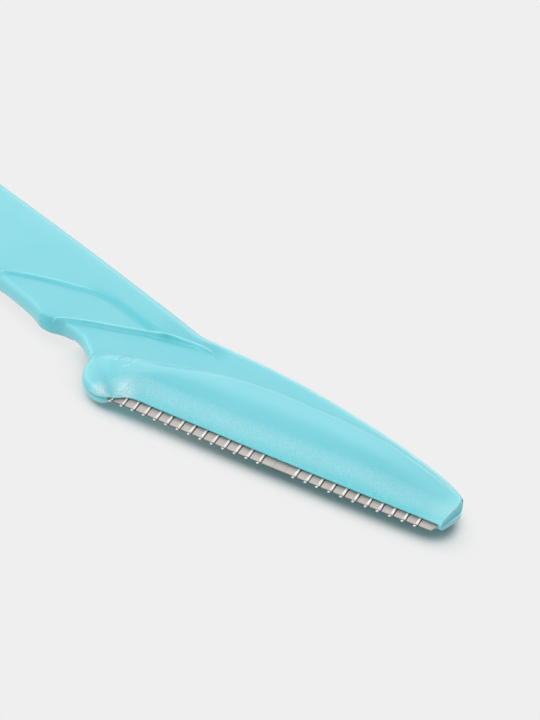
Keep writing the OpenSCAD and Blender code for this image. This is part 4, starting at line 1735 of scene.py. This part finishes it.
@dataclass
class Studio:
    """Floor, lamps and camera at the photograph's viewing angle."""

    background: Tone = Tone(239, 239, 239)
    eye: tuple[float, float, float] = (0.18677, -0.12016, 0.17064)
    target: tuple[float, float, float] = (0.04768, 0.00856, 0.0)
    lens: float = 137.47
    floor_half: float = 4.0
    floor_z: float = -0.00002
    card: tuple[float, ...] = (0.7, 0.7, 0.7, 1.0)
    # Painted shade: the camera sees the floor's shadow in this darker teal card, and near the knob in a deeper teal
    # that paints light through the plastic.
    shadow: tuple[float, ...] = (0.32, 0.46, 0.47, 1.0)
    knob_shadow: tuple[float, ...] = (0.06, 0.44, 0.46, 1.0)
    knob_at: tuple[float, float, float] = (0.0425, -0.0064, 0.0)
    knob_reach: tuple[float, float] = (0.002, 0.0055)
    open_ways: tuple[tuple[float, float], ...] = ((270.0, 35.0), (75.0, 35.0))
    open_reach: float = 0.006
    open_span: tuple[float, float] = (0.745, 0.957)
    clear_stretches: tuple[tuple[float, float, float], ...] = ((0.034, 0.04, 0.9), (0.043, 0.058, 0.14))
    lamps: tuple[Lamp, ...] = (
        Lamp("key_left", 190.0, 70.0, 60.0, 1.48), Lamp("rim_back", 105.0, 22.0, 50.0, 0.5),
        Lamp("spark", 185.0, 66.0, 14.0, 0.06, mirrored=True), Lamp("fill_front", 268.0, 22.0, 50.0, 0.85))
    world_light: float = 0.45
    wall_heights: tuple[float, float] = (0.65, 0.82)
    wall_lights: tuple[float, float] = (2.1, 0.3)

    def _plain_share(self, bench: NodeBench, spot: bpy.types.NodeSocket) -> bpy.types.NodeSocket:
        """Share of the plain background in the floor's look: all of it where nothing stands near.

        Args:
            bench: where the nodes are added.
            spot: the floor's Object coordinates.

        Returns:
            The share, which keeps only the shadows at the head of the razor.
        """
        open_sides = []
        for way in (direction(*angles) for angles in self.open_ways):
            toward = bench.add("ShaderNodeCombineXYZ", X=way[0], Y=way[1], Z=way[2])
            open_sides.append(bench.add("ShaderNodeAmbientOcclusion", {"samples": 12}, Distance=self.open_reach,
                                        Normal=toward.outputs["Vector"]).outputs["AO"])
        clear = bench.span(bench.math("MAXIMUM", *open_sides), *self.open_span)
        x = bench.add("ShaderNodeSeparateXYZ", Vector=spot).outputs["X"]
        for start, end, share in self.clear_stretches:
            clear = bench.math("MAXIMUM", clear, bench.span(x, start, end, share, 0.0))
        return clear

    def floor(self) -> None:
        """Lays a plain pale floor, which keeps the shadows, painted darker and teal for the camera, and shows the
        background elsewhere.
        """
        mesh = bpy.data.meshes.new("floor")
        r, z = self.floor_half, self.floor_z
        mesh.from_pydata([(-r, -r, z), (r, -r, z), (r, r, z), (-r, r, z)], [], [(0, 1, 2, 3)])
        piece = new_object("floor", mesh)
        bench, mat = NodeBench.on_material("floor_card")
        path = bench.add("ShaderNodeLightPath").outputs
        spot = bench.spot()
        away = bench.add("ShaderNodeVectorMath", {"operation": "DISTANCE"}, i0=spot, i1=self.knob_at)
        near_knob = bench.span(away.outputs["Value"], *self.knob_reach, 1.0, 0.0)
        # Painted shadow colour: darker teal for the camera, deeper teal near the knob.
        tone = bench.blend(near_knob, self.shadow, self.knob_shadow)
        tone = bench.blend(path["Is Camera Ray"], self.card, tone)
        card = bench.add("ShaderNodeBsdfPrincipled", Base_Color=tone, Roughness=1.0, Specular_IOR_Level=0.0)
        plain = bench.add("ShaderNodeEmission", Color=self.background.linear(), Strength=1.0)
        seen = bench.math("MAXIMUM", path["Is Camera Ray"], path["Is Glossy Ray"])
        share = bench.math("MULTIPLY", self._plain_share(bench, spot), seen)
        both = bench.add("ShaderNodeMixShader", i0=share, i1=card.outputs[0], i2=plain.outputs[0])
        bench.finish(both.outputs[0])
        mesh.materials.append(mat)

    def world(self) -> None:
        """Sets an even studio world, which the camera sees as the background."""
        world = bpy.data.worlds.new("studio")
        world.use_nodes = True
        world.node_tree.nodes.clear()
        bench = NodeBench(world.node_tree)

        def sky(colour: tuple[float, ...], strength: object) -> bpy.types.NodeSocket:
            """One even sky."""
            return bench.add("ShaderNodeBackground", Color=colour, Strength=strength).outputs[0]

        path = bench.add("ShaderNodeLightPath").outputs
        way = bench.add("ShaderNodeSeparateXYZ", Vector=bench.add("ShaderNodeTexCoord").outputs["Generated"])
        walls = bench.span(way.outputs["Z"], *self.wall_heights, *self.wall_lights)
        glossy = bench.add("ShaderNodeMixShader", i0=path["Is Glossy Ray"], i1=sky(WHITE, self.world_light),
                           i2=sky(WHITE, walls))
        mix = bench.add("ShaderNodeMixShader", i0=path["Is Camera Ray"], i1=glossy.outputs[0],
                        i2=sky(self.background.linear(), 1.0))
        bench.finish(mix.outputs[0], "ShaderNodeOutputWorld")
        bpy.context.scene.world = world

    def camera(self) -> None:
        """Places the camera."""
        data = bpy.data.cameras.new("camera")
        data.lens, data.sensor_width, data.sensor_fit = self.lens, 36.0, "AUTO"
        data.clip_start, data.clip_end = 0.01, 50.0
        cam = new_object("camera", data)
        cam.location = self.eye
        look = Vector(self.target) - Vector(self.eye)
        cam.rotation_mode = "QUATERNION"
        cam.rotation_quaternion = look.to_track_quat("-Z", "Y")
        bpy.context.scene.camera = cam

    def build(self) -> None:
        """Sets up the whole studio."""
        self.camera()
        self.floor()
        for lamp in self.lamps:
            lamp.hang()
        self.world()
        bpy.context.scene.view_settings.view_transform = "Standard"
        LOG.info("studio: %d lamps", len(self.lamps))


@dataclass
class Razor:
    """The whole razor: builds each piece, dresses it and ties it to the frame."""

    form: RazorForm = field(default_factory=RazorForm)

    def _seat(self, piece: bpy.types.Object, node: str, mat: bpy.types.Material) -> None:
        """Dresses a piece and puts it in place of its CAD node.

        Args:
            piece: the finished piece.
            node: the CAD node that it stands for.
            mat: its material.
        """
        piece.data.materials.clear()
        piece.data.materials.append(mat)
        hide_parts(node)
        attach(piece, "root")
        LOG.info("%s stands for %s", piece.name, node)

    def build(self) -> None:
        """Builds all four pieces."""
        kit = Kit(self.form.sizes)
        pocket = Pocket(self.form, kit)
        grain = fine_grain_group()
        handle, cover = Moulding(self.form, kit, pocket).build()
        teal = TealPlastic()
        self._seat(handle, "handle", teal.make("teal_handle", grain))
        self._seat(cover, "blade_cover", teal.make("teal_cover", grain))
        self._seat(Blade(kit, pocket).build(), "blade", GroundSteel().make("ground_steel"))
        wire = DrawnWire().make("drawn_wire")
        self._seat(GuardWire(kit).build(wire), "guard_wire", wire)


def main() -> None:
    """Builds the razor and its studio."""
    Studio().build()
    Razor().build()


if __name__ == "__main__":
    main()
